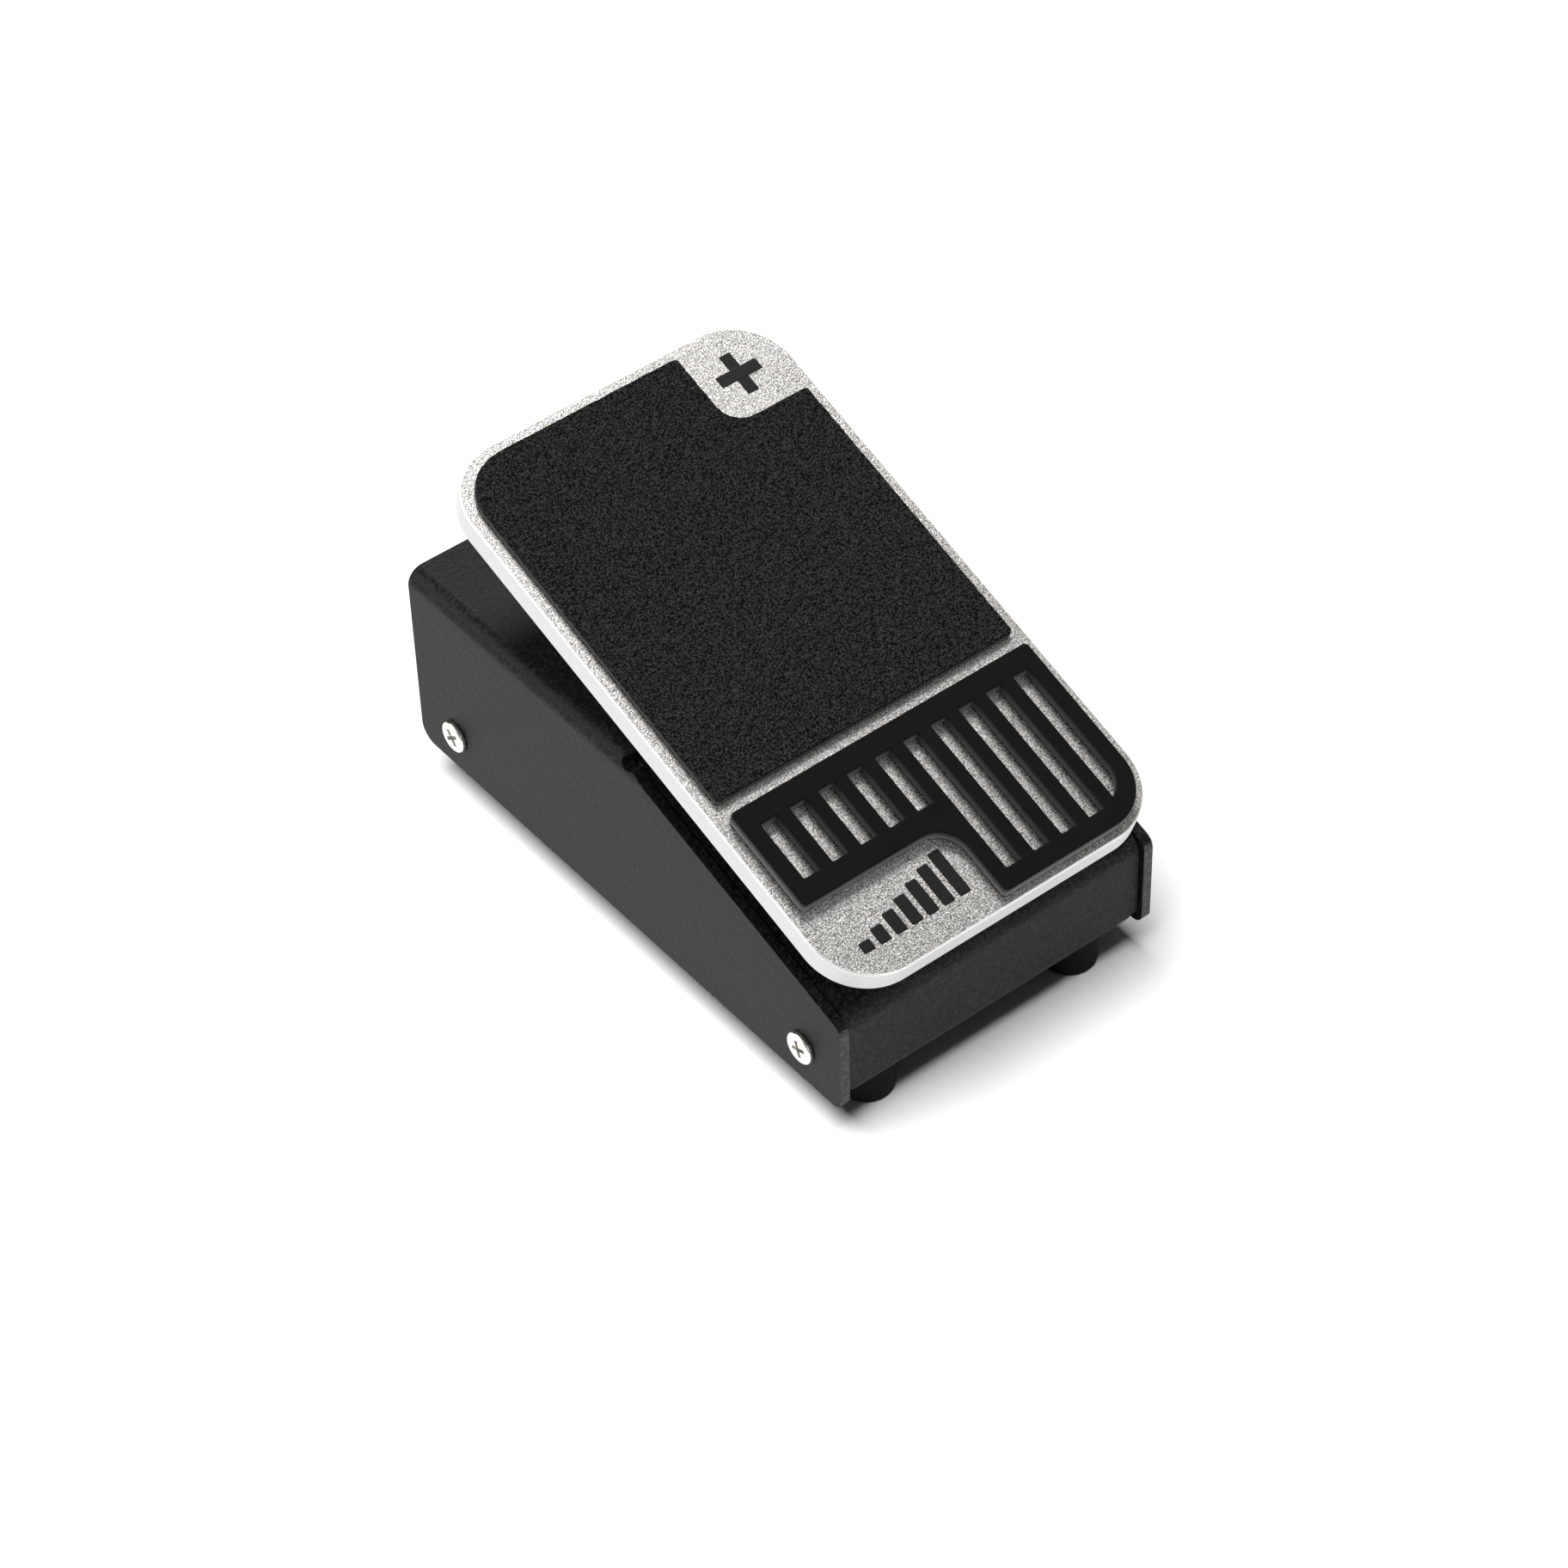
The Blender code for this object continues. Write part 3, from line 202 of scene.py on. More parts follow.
def machined_aluminium():
    """The treadle's sawn and deburred edge: pale, with a faint fine mottle."""
    graph = Graph("aluminium_edge")
    fine = graph.noise(0.18 * MM, 2.0)
    tone = graph.mix(graph.spread(fine, 0.3, 0.7), (0.54, 0.54, 0.535), (0.64, 0.64, 0.635))
    normal = graph.bump(fine, 0.02 * MM, 0.5)
    return graph.surface(tone, graph.spread(fine, 0.2, 0.8, 0.42, 0.55), 0.5, normal)


def chamfer_painted_highlight():
    """The fine chamfer round the treadle: its near-white tone is a painted highlight, the glint a lamp would give
    along the edge.
    """
    graph = Graph("aluminium_chamfer_painted_highlight")
    fine = graph.noise(0.4 * MM, 2.0)
    tone = graph.mix(graph.spread(fine, 0.3, 0.7), (0.80, 0.80, 0.795), (0.92, 0.92, 0.915))
    normal = graph.bump(fine, 0.01 * MM, 0.5)
    return graph.surface(tone, graph.spread(fine, 0.2, 0.8, 0.35, 0.48), 0.4, normal)


def grit():
    """Coarse mineral grip: near-black crumbs, pinholes between them and many light grains, which are painted
    glints.
    """
    graph = Graph("grit_grip")
    crumb = graph.noise(0.34 * MM, 1.0, 0.6)
    painted_glint = graph.noise(0.24 * MM, 0.0)
    shade = graph.ramp(crumb, (0.38, 0.0004), (0.48, 0.0042), (0.60, 0.028))
    # Painted glints: light grey is mixed into the colour on scattered grains.
    shade = graph.mix(graph.spread(painted_glint, 0.62, 0.74, 0.0, 0.7), shade, (0.060, 0.060, 0.058))
    normal = graph.bump(crumb, 0.08 * MM, 0.8)
    rough = graph.spread(crumb, 0.3, 0.7, 0.95, 0.75)
    return graph.surface(shade, rough, 0.0, normal, Specular_IOR_Level=0.10)


def smooth_rubber():
    """Moulded black rubber with a very fine matte texture."""
    graph = Graph("rubber_smooth")
    fine = graph.noise(0.16 * MM, 2.0)
    cloud = graph.noise(7 * MM, 2.0)
    shade = graph.mix(graph.spread(cloud, 0.3, 0.7), (0.0030, 0.0029, 0.0027), (0.0042, 0.0041, 0.0038))
    shade = graph.mix(graph.spread(fine, 0.55, 0.85, 0.0, 0.4), shade, (0.010, 0.010, 0.0095))
    normal = graph.bump(fine, 0.012 * MM, 0.5)
    rough = graph.spread(fine, 0.2, 0.8, 0.66, 0.80)
    return graph.surface(shade, rough, 0.0, normal, Specular_IOR_Level=0.10)


def cut_edge(name, base, thickness, foot_tone_with_painted_reflection, top_tone):
    """The cut side of a pad: grey at its foot, darker to its top. The grey foot is partly the backing layer's own
    lighter tone and partly a painted reflection of the bright plate; the darkening towards the top is painted
    shade. base is its lowest height on the plate.
    """
    graph = Graph(name)
    out = graph.add("ShaderNodeVectorMath", operation="DOT_PRODUCT")
    graph.feed(out.inputs[0], graph.place)
    axis = TREADLE.col[2].xyz
    out.inputs[1].default_value = axis
    foot = base + TREADLE.translation.dot(axis)
    # Painted reflection and shade: the side is lightest at its foot, where it would mirror the bright plate, and
    # darkens towards its top.
    rise = graph.spread(out.outputs["Value"], foot + 0.1 * thickness, foot + 0.9 * thickness)
    fine = graph.noise(0.2 * MM, 2.0)
    grain = graph.mix(graph.spread(fine, 0.3, 0.7), (foot_tone_with_painted_reflection * 0.8,) * 3, (foot_tone_with_painted_reflection * 1.2,) * 3)
    tone = graph.mix(rise, grain, (top_tone,) * 3)
    return graph.surface(tone, graph.spread(fine, 0.2, 0.8, 0.6, 0.8), 0.0, graph.bump(fine, 0.02 * MM, 0.6))


def plated(name, dark, light, rough_low, rough_high, size=0.35 * MM):
    """A plated or machined metal: faint mottling of tone and roughness."""
    graph = Graph(name)
    mottle = graph.noise(size, 3.0, 0.6)
    cloud = graph.noise(size * 14, 2.0)
    tone = graph.mix(graph.spread(mottle, 0.3, 0.7), dark, light)
    tone = graph.mix(graph.spread(cloud, 0.35, 0.75, 0.0, 0.3), tone, dark)
    normal = graph.bump(mottle, 0.008 * MM, 0.5)
    return graph.surface(tone, graph.spread(mottle, 0.2, 0.8, rough_low, rough_high), 1.0, normal)


def moulded(name, dark, light, rough=0.45):
    """A moulded plastic with a fine spark-eroded texture."""
    graph = Graph(name)
    fine = graph.noise(0.2 * MM, 2.0)
    tone = graph.mix(graph.spread(fine, 0.3, 0.7), dark, light)
    normal = graph.bump(fine, 0.012 * MM, 0.5)
    return graph.surface(tone, graph.spread(fine, 0.2, 0.8, rough - 0.05, rough + 0.1), 0.0, normal)


def board_green():
    """Solder mask over a faint pattern of tracks."""
    graph = Graph("board_green")
    track = graph.cells(2.6 * MM, feature="DISTANCE_TO_EDGE")
    tone = graph.mix(graph.spread(track, 0.04, 0.09), (0.035, 0.19, 0.075), (0.012, 0.095, 0.035))
    normal = graph.bump(graph.spread(track, 0.09, 0.04), 0.03 * MM, 0.6)
    return graph.surface(tone, graph.spread(graph.noise(0.5 * MM), 0.2, 0.8, 0.25, 0.4), 0.0, normal)


def print_black():
    """Screen-printed ink: flat black, faintly mottled."""
    graph = Graph("ink_black")
    fine = graph.noise(0.3 * MM, 2.0)
    tone = graph.mix(graph.spread(fine, 0.3, 0.7), (0.0040, 0.0040, 0.0038), (0.0075, 0.0075, 0.0070))
    rough = graph.spread(fine, 0.2, 0.8, 0.5, 0.65)
    return graph.surface(tone, rough, 0.0, graph.bump(fine, 0.01 * MM, 0.4), Specular_IOR_Level=0.2)


FINISH = {
    "powder_coat": powder_coat(),
    "powder_coat_cut": powder_coat_cut(),
    "blasted_aluminium": blasted_aluminium(),
    "aluminium_edge": machined_aluminium(),
    "aluminium_chamfer_painted_highlight": chamfer_painted_highlight(),
    "grit_rubber": grit(),
    "smooth_rubber": smooth_rubber(),
    "nickel": plated("nickel_plate", (0.66, 0.65, 0.60), (0.80, 0.79, 0.75), 0.22, 0.36),
    "zinc_steel": plated("zinc_plate", (0.42, 0.43, 0.45), (0.60, 0.61, 0.63), 0.28, 0.45),
    "brass": plated("brass_cut", (0.58, 0.41, 0.16), (0.74, 0.55, 0.25), 0.22, 0.38),
    "nylon": moulded("nylon_natural", (0.66, 0.64, 0.57), (0.76, 0.74, 0.68)),
    "black_plastic": moulded("plastic_black", (0.010, 0.010, 0.010), (0.020, 0.020, 0.020)),
    "board": board_green(),
    "wire": moulded("wire_red", (0.33, 0.02, 0.018), (0.48, 0.04, 0.03), 0.3),
    "ink": print_black(),
}


# ---------------------------------------------------------------- mesh helpers
def object_from(shape, name, matrix=None):
    """A new object from a bmesh, which is freed. Its mesh is in the row frame."""
    if matrix is not None:
        bmesh.ops.transform(shape, matrix=matrix, verts=shape.verts)
    bmesh.ops.recalc_face_normals(shape, faces=shape.faces)
    mesh = bpy.data.meshes.new(name)
    shape.to_mesh(mesh)
    shape.free()
    obj = bpy.data.objects.new(name, mesh)
    bpy.context.scene.collection.objects.link(obj)
    return obj


def smooth(obj, angle=35):
    obj.data.shade_smooth()
    obj.data.set_sharp_from_angle(angle=radians(angle))
    return obj


def baked(obj):
    """Applies the object's modifiers to its mesh."""
    bpy.context.view_layer.update()
    graph = bpy.context.evaluated_depsgraph_get()
    mesh = bpy.data.meshes.new_from_object(obj.evaluated_get(graph))
    obj.modifiers.clear()
    obj.data = mesh
    return obj


def softened(obj, width, segments=2, angle=35):
    """Rounds the object's sharp edges and keeps its flats flat."""
    bevel = obj.modifiers.new("soften", "BEVEL")
    bevel.limit_method = "ANGLE"
    bevel.angle_limit = radians(angle)
    bevel.width = width
    bevel.segments = segments
    bevel.use_clamp_overlap = True
    weighted = obj.modifiers.new("flats", "WEIGHTED_NORMAL")
    weighted.keep_sharp = True
    obj.data.shade_smooth()
    return baked(obj)


def settle(piece, body, slot, *replaced, finish=None):
    """Gives a piece its finish and body, and says which CAD nodes it stands for."""
    material = FINISH[finish or slot]
    if not piece.data.materials:
        piece.data.materials.append(material)
    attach(piece, body)
    if replaced:
        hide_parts(*replaced)
    return piece


def rounded_outline(corners, step=radians(6)):
    """Points of a closed outline whose corners (x, y, radius) are turned into arcs."""
    points = []
    for i, (x, y, radius) in enumerate(corners):
        here = Vector((x, y))
        before = (Vector(corners[i - 1][:2]) - here).normalized()
        after = (Vector(corners[(i + 1) % len(corners)][:2]) - here).normalized()
        if radius == 0:
            points.append(here)
            continue
        half = before.angle(after) / 2
        centre = here + (before + after).normalized() * radius / sin(half)
        start = here + before * radius / tan(half) - centre
        turn = pi - 2 * half
        if before.cross(after) > 0:
            turn = -turn
        count = max(2, ceil(abs(turn) / step))
        first = atan2(start.y, start.x)
        for k in range(count + 1):
            angle = first + turn * k / count
            points.append(centre + Vector((cos(angle), sin(angle))) * radius)
    return points


def skin(rings, closed_ends=True):
    """A bmesh through rings of equal length, from the lowest to the highest."""
    shape = bmesh.new()
    loops = [[shape.verts.new(point) for point in ring] for ring in rings]
    count = len(loops[0])
    for low, high in zip(loops, loops[1:]):
        for i in range(count):
            j = (i + 1) % count
            shape.faces.new((low[i], low[j], high[j], high[i]))
    if closed_ends:
        shape.faces.new(loops[0][::-1])
        shape.faces.new(loops[-1])
    return shape


def turned(name, profile, matrix, steps=64):
    """A turned solid about the matrix's Z. Its (radius, height) profile closes on itself or on the axis."""
    shape = bmesh.new()
    on_axis = profile[0][0] == 0
    rings = []
    for radius, height in profile:
        if radius == 0:
            rings.append([shape.verts.new((0, 0, height))])
            continue
        around = (2 * pi * k / steps for k in range(steps))
        rings.append([shape.verts.new((radius * cos(a), radius * sin(a), height)) for a in around])
    pairs = list(zip(rings, rings[1:] if on_axis else rings[1:] + rings[:1]))
    for first, second in pairs:
        for k in range(steps):
            n = (k + 1) % steps
            corners = [first[k % len(first)], first[n % len(first)]]
            corners += [second[n % len(second)], second[k % len(second)]]
            corners = [v for i, v in enumerate(corners) if v not in corners[:i]]
            if len(corners) > 2:
                shape.faces.new(corners)
    return smooth(object_from(shape, name, matrix), 32)


def arc(centre, radius, start, end, count=6):
    """Profile points (radius, height) along an arc, angles in degrees."""
    angles = (radians(start + (end - start) * k / count) for k in range(count + 1))
    return [(centre[0] + radius * cos(a), centre[1] + radius * sin(a)) for a in angles]


def placed(origin, along):
    """A frame at origin whose +Z points along the given direction."""
    turn = Vector((0, 0, 1)).rotation_difference(Vector(along).normalized())
    return Matrix.Translation(Vector(origin)) @ turn.to_matrix().to_4x4()


def sheet_of(name, outlines, thickness, edge, matrix, segments=3):
    """A flat solid with rounded edges on the matrix's XY plane. Holes are outlines that run the other way."""
    curve = bpy.data.curves.new(name, "CURVE")
    curve.dimensions = "2D"
    curve.fill_mode = "BOTH"
    curve.extrude = thickness / 2 - edge
    curve.bevel_depth = edge
    curve.bevel_resolution = segments
    curve.offset = -edge
    for outline in outlines:
        spline = curve.splines.new("POLY")
        spline.points.add(len(outline) - 1)
        for point, place in zip(spline.points, outline):
            point.co = (place[0], place[1], 0, 1)
        spline.use_cyclic_u = True
    helper = bpy.data.objects.new(name, curve)
    bpy.context.scene.collection.objects.link(helper)
    bpy.context.view_layer.update()
    graph = bpy.context.evaluated_depsgraph_get()
    mesh = bpy.data.meshes.new_from_object(helper.evaluated_get(graph))
    bpy.data.objects.remove(helper)
    shape = bmesh.new()
    shape.from_mesh(mesh)
    bmesh.ops.remove_doubles(shape, verts=shape.verts, dist=1e-7)
    bmesh.ops.translate(shape, vec=(0, 0, thickness / 2), verts=shape.verts)
    obj = object_from(shape, name, matrix)
    obj.data.shade_smooth()
    weighted = obj.modifiers.new("flats", "WEIGHTED_NORMAL")
    weighted.keep_sharp = True
    return baked(obj)


def refined(node, width=0.12 * MM, segments=2, end_finish=None):
    """A CAD node's shape, flats merged and edges softened. end_finish is for its heel-end faces."""
    shape = bmesh.new()
    shape.from_mesh(NODES[node].data)
    bmesh.ops.remove_doubles(shape, verts=shape.verts, dist=1e-7)
    bmesh.ops.dissolve_limit(shape, angle_limit=radians(0.3), verts=shape.verts, edges=shape.edges)
    obj = object_from(shape, node + "_fine")
    softened(obj, width, segments)
    if end_finish:
        for slot in (SLOT_OF[node], end_finish):
            obj.data.materials.append(FINISH[slot])
        for face in obj.data.polygons:
            face.material_index = 1 if face.normal.y < -0.85 else 0
    return settle(obj, BODY_OF[node], SLOT_OF[node], node)


# ---------------------------------------------------------------- treadle
def treadle_matrix():
    """The treadle's own frame: origin on its axle, Y along the plate, Z out of its top."""
    plate = NODES["treadle_plate"].data
    top = max((face for face in plate.polygons if face.normal.z > 0.5), key=lambda face: face.area)
    hinge = next(joint for joint in frame["joints"] if joint["name"] == "treadle_rock")
    tilt = atan2(-top.normal.y, top.normal.z)
    return Matrix.Translation(hinge["pos_m"]) @ Matrix.Rotation(tilt, 4, "X")


TREADLE = treadle_matrix()


def local_box(node):
    """Lowest and highest corner of a treadle node in the treadle's own frame."""
    inverse = TREADLE.inverted()
    points = [inverse @ vertex.co for vertex in NODES[node].data.vertices]
    return (
        Vector([min(p[i] for p in points) for i in range(3)]),
        Vector([max(p[i] for p in points) for i in range(3)]),
    )


PLATE_CORNER = 10.5 * MM
PLATE_LOW, PLATE_HIGH = local_box("treadle_plate")


def make_plate():
    """The treadle's plate: large rounded corners and a fine chamfer whose brightness is a painted highlight."""

    def ring(inset, height):
        half = PLATE_HIGH.x - inset
        heel, toe = PLATE_LOW.y + inset, PLATE_HIGH.y - inset
        radius = PLATE_CORNER - inset
        corners = [(-half, heel, radius), (half, heel, radius), (half, toe, radius), (-half, toe, radius)]
        return [(place.x, place.y, height) for place in rounded_outline(corners, radians(3))]

    top, under = PLATE_HIGH.z, PLATE_LOW.z
    rings = [ring(0.9 * MM, under), ring(0.35 * MM, under)]
    rings += [ring(0.1 * MM, under + 0.1 * MM), ring(0, under + 0.35 * MM)]
    rings += [ring(0, top - 0.26 * MM), ring(0.05 * MM, top - 0.16 * MM), ring(0.17 * MM, top - 0.05 * MM)]
    rings += [ring(0.28 * MM, top)]
    shape = skin(rings)
    shape.normal_update()
    for face in shape.faces:
        steep = abs(face.normal.z)
        # Index 2, the chamfer, gets the painted highlight finish.
        face.material_index = 0 if steep > 0.95 else 1 if steep < 0.3 else 2
    obj = smooth(object_from(shape, "treadle_plate_fine", TREADLE), 50)
    weighted = obj.modifiers.new("flats", "WEIGHTED_NORMAL")
    weighted.keep_sharp = True
    baked(obj)
    for slot in ("blasted_aluminium", "aluminium_edge", "aluminium_chamfer_painted_highlight"):
        obj.data.materials.append(FINISH[slot])
    settle(obj, "treadle", "blasted_aluminium", "treadle_plate")


GRIP_WINDOW = Vector((14.0 * MM, 41.8 * MM))
PAD_CORNER = 8.3 * MM


def distance_inside(outline, places):
    """How far each place is from the nearest side of a closed outline, seen from above."""
    starts = np.array([tuple(point) for point in outline])
    steps = np.roll(starts, -1, axis=0) - starts
    flat = np.array([(place[0], place[1]) for place in places])
    nearest = np.full(len(flat), np.inf)
    for start, step in zip(starts, steps):
        length = float(step @ step)
        if length == 0:
            continue
        along = np.clip((flat - start) @ step / length, 0, 1)
        gap = np.linalg.norm(flat - start - along[:, None] * step, axis=1)
        nearest = np.minimum(nearest, gap)
    return nearest.tolist()


def make_grip_pad():
    """The coarse pad: a dense skin whose top is broken up into crumbs and pits."""
    low, high = local_box("grip_pad")
    soft = 0.8 * MM
    outline = rounded_outline(
        (
            (low.x, low.y, soft),
            (high.x, low.y, soft),
            (high.x, GRIP_WINDOW.y, soft),
            (GRIP_WINDOW.x, GRIP_WINDOW.y, 4.0 * MM),
            (GRIP_WINDOW.x, high.y, soft),
            (low.x, high.y, PAD_CORNER),
        )
    )
    obj = sheet_of("grip_pad_fine", [outline], high.z - low.z, 0.1 * MM, Matrix.Translation((0, 0, low.z)), 1)
    remesh = obj.modifiers.new("crumbs", "REMESH")
    remesh.mode = "VOXEL"
    remesh.voxel_size = 0.27 * MM
    baked(obj)
    shape = bmesh.new()
    shape.from_mesh(obj.data)
    foot = low.z + 0.12 * MM
    under = [face for face in shape.faces if face.calc_center_median().z < foot and face.normal.z < -0.7]
    bmesh.ops.delete(shape, geom=under, context="FACES")
    rim = [edge for edge in shape.edges if edge.is_boundary]
    bmesh.ops.contextual_create(shape, geom=rim)
    inward = distance_inside(outline, [vertex.co for vertex in shape.verts])
    stretch = Matrix.Rotation(radians(35), 3, "Z") @ Matrix.Diagonal((1.0, 1.7, 1.0))
    for vertex, inset in zip(shape.verts, inward):
        depth = (vertex.co.z - low.z) / (high.z - low.z)
        if depth < 0.25:
            continue
        share = min(1.0, (depth - 0.25) / 0.5) * min(1.0, 0.25 + inset / (0.9 * MM))
        place = vertex.co / MM
        crumb = noise.noise(place * 1.9) + 0.8 * noise.noise(place * 4.1)
        pit = max(0.0, noise.noise(stretch @ place * 0.95 + Vector((7, 3, 1))) - 0.12)
        vertex.co += vertex.normal * (0.09 * crumb - 0.05 - 0.55 * pit) * share * MM
    bpy.data.objects.remove(obj)
    shape.normal_update()
    for face in shape.faces:
        level = (face.calc_center_median().z - low.z) / (high.z - low.z)
        face.material_index = 1 if abs(face.normal.z) < 0.6 and level < 0.75 else 0
    pad = object_from(shape, "grip_pad_fine", TREADLE)
    pad.data.shade_smooth()
    pad.data.materials.append(FINISH["grit_rubber"])
    # The grip pad's sides: partly own lighter tone, partly painted reflection of the plate at their foot, and
    # painted shade towards the top.
    pad.data.materials.append(cut_edge("grip_pad_edge_painted_reflection", low.z, high.z - low.z, 0.075, 0.05))
    settle(pad, "treadle", "grit_rubber", "grip_pad")


HEEL_PAD_STEP = Vector((-1.3 * MM, -30.7 * MM))
SLOT_COUNT = 10
SLOT_PITCH = 5.37 * MM
SLOT_WIDTH = 3.1 * MM
SLOT_SHIFT = 0.15 * MM
SLOT_TOE = -16.4 * MM
SHORT_SLOT_HEEL = -27.0 * MM
LONG_SLOT_HEEL = -41.4 * MM
SLOT_ARC = 5.8 * MM


def slot_outline(index):
    """One slot of the heel pad; the last one's heel end follows the pad's rounded corner."""
    middle = (index - (SLOT_COUNT - 1) / 2) * SLOT_PITCH + SLOT_SHIFT
    left, right = middle - SLOT_WIDTH / 2, middle + SLOT_WIDTH / 2
    heel = SHORT_SLOT_HEEL if index < SLOT_COUNT // 2 else LONG_SLOT_HEEL
    soft = 0.2 * MM
    if index < SLOT_COUNT - 1:
        corners = [(left, heel, soft), (right, heel, soft)]
    else:
        centre = Vector((PLATE_HIGH.x - PLATE_CORNER, PLATE_LOW.y + PLATE_CORNER))
        places = [left + (right - left) * k / 8 for k in range(9)]
        corners = [(x, centre.y - sqrt(SLOT_ARC**2 - (x - centre.x) ** 2), 0) for x in places]
    return rounded_outline(corners + [(right, SLOT_TOE, soft), (left, SLOT_TOE, soft)], radians(30))


def make_heel_pad():
    """The smooth pad: slots, an L step and softly moulded edges."""
    low, high = local_box("heel_pad")
    soft = 0.8 * MM
    outline = rounded_outline(
        (
            (HEEL_PAD_STEP.x, low.y, soft),
            (high.x, low.y, PAD_CORNER),
            (high.x, high.y, soft),
            (low.x, high.y, soft),
            (low.x, HEEL_PAD_STEP.y, soft),
            (HEEL_PAD_STEP.x, HEEL_PAD_STEP.y, 5.0 * MM),
        )
    )
    outlines = [outline] + [slot_outline(index)[::-1] for index in range(SLOT_COUNT)]
    seat = TREADLE @ Matrix.Translation((0, 0, low.z))
    pad = sheet_of("heel_pad_fine", outlines, high.z - low.z, 0.22 * MM, seat)
    out = TREADLE.col[2].xyz
    for face in pad.data.polygons:
        face.material_index = 1 if abs(face.normal.dot(out)) < 0.35 else 0
    pad.data.materials.append(FINISH["smooth_rubber"])
    # The heel pad's sides: partly own lighter tone, partly painted reflection of the plate at their foot, and
    # painted shade towards the top.
    pad.data.materials.append(cut_edge("heel_pad_edge_painted_reflection", low.z, high.z - low.z, 0.17, 0.008))
    settle(pad, "treadle", "smooth_rubber", "heel_pad")


def make_marks():
    """Generic print on the bare metal: a rising row of bars at the heel and a plus sign at the toe."""
    ink_height = 0.04 * MM
    count, pitch, width = 7, 3.0 * MM, 2.1 * MM
    start = Vector((-24.6 * MM, -41.0 * MM))
    for k in range(count):
        tall = (1.9 + 6.3 * k / (count - 1)) * MM
        left = start.x + k * pitch
        right, top = left + width, start.y + tall
        corners = [(left, start.y), (right, start.y), (right, top), (left, top)]
        outline = rounded_outline([(x, y, 0.35 * MM) for x, y in corners], radians(15))
        seat = TREADLE @ Matrix.Translation((0, 0, PLATE_HIGH.z - 0.005 * MM))
        bar = sheet_of(f"level_mark_{k + 1}", [outline], ink_height, 0.01 * MM, seat, 1)
        settle(bar, "treadle", None, finish="ink")
    long, thin = 3.9 * MM, 1.05 * MM
    centre = Vector((21.4 * MM, 49.6 * MM))
    corners = []
    for quarter in range(4):
        turn = Matrix.Rotation(quarter * pi / 2, 2)
        corners += [turn @ Vector((thin, thin)), turn @ Vector((thin, long)), turn @ Vector((-thin, long))]
    rounded = [(centre.x + c.x, centre.y + c.y, 0.15 * MM) for c in corners]
    seat = TREADLE @ Matrix.Translation((0, 0, PLATE_HIGH.z - 0.005 * MM))
    plus = sheet_of("plus_mark", [rounded_outline(rounded, radians(30))], ink_height, 0.01 * MM, seat, 1)
    settle(plus, "treadle", None, finish="ink")


# ---------------------------------------------------------------- fasteners
def cross_recess(head_radius, head_height, depth):
    """A tapered cross, as a cutter that reaches above the head."""
    shape = bmesh.new()
    top = head_height * 1.6
    for turn in range(2):
        wide, narrow = head_radius * 0.56, head_radius * 0.11
        made = bmesh.ops.create_cube(shape, size=2.0)["verts"]
        for vertex in made:
            low = vertex.co.z < 0
            reach = wide * (0.62 if low else 1.12)
            across = narrow * (0.75 if low else 1.25)
            height = head_height - depth if low else top
            vertex.co = Vector((vertex.co.x * reach, vertex.co.y * across, height))
        bmesh.ops.rotate(shape, verts=made, matrix=Matrix.Rotation(turn * pi / 2, 3, "Z"), cent=(0, 0, 0))
    return shape


def screw_blank(name, head_radius, head_height, length, shank=1.5 * MM):
    """A pan-head screw standing on Z = 0, its shank below, with a cross recess."""
    edge = min(0.35 * MM, 0.45 * head_height)
    crown = 0.06 * head_height
    profile = [(0, head_height), (head_radius * 0.5, head_height - 0.3 * crown)]
    profile += [(head_radius - edge, head_height - crown)]
    profile += arc((head_radius - edge, head_height - crown - edge), edge, 75, 0, 6)
    profile += [(head_radius, 0.05 * MM), (head_radius - 0.05 * MM, 0), (shank, 0)]
    pitch = 0.5 * MM
    turns = int(length / pitch) - 1
    for k in range(turns):
        down = -0.25 * MM - k * pitch
        profile += [(shank, down), (shank - 0.22 * MM, down - pitch * 0.5)]
    profile += [(shank - 0.22 * MM, -length + 0.2 * MM), (shank - 0.5 * MM, -length), (0, -length)]
    blank = turned(name, profile, Matrix(), 48)
    cutter = object_from(cross_recess(head_radius, head_height, CROSS_DEPTH), name + "_cross")
    cut = blank.modifiers.new("cross", "BOOLEAN")
    cut.operation = "DIFFERENCE"
    cut.use_self = True
    cut.object = cutter
    baked(blank)
    bpy.data.objects.remove(cutter)
    mesh = smooth(blank, 32).data
    bpy.data.objects.remove(blank)
    return mesh


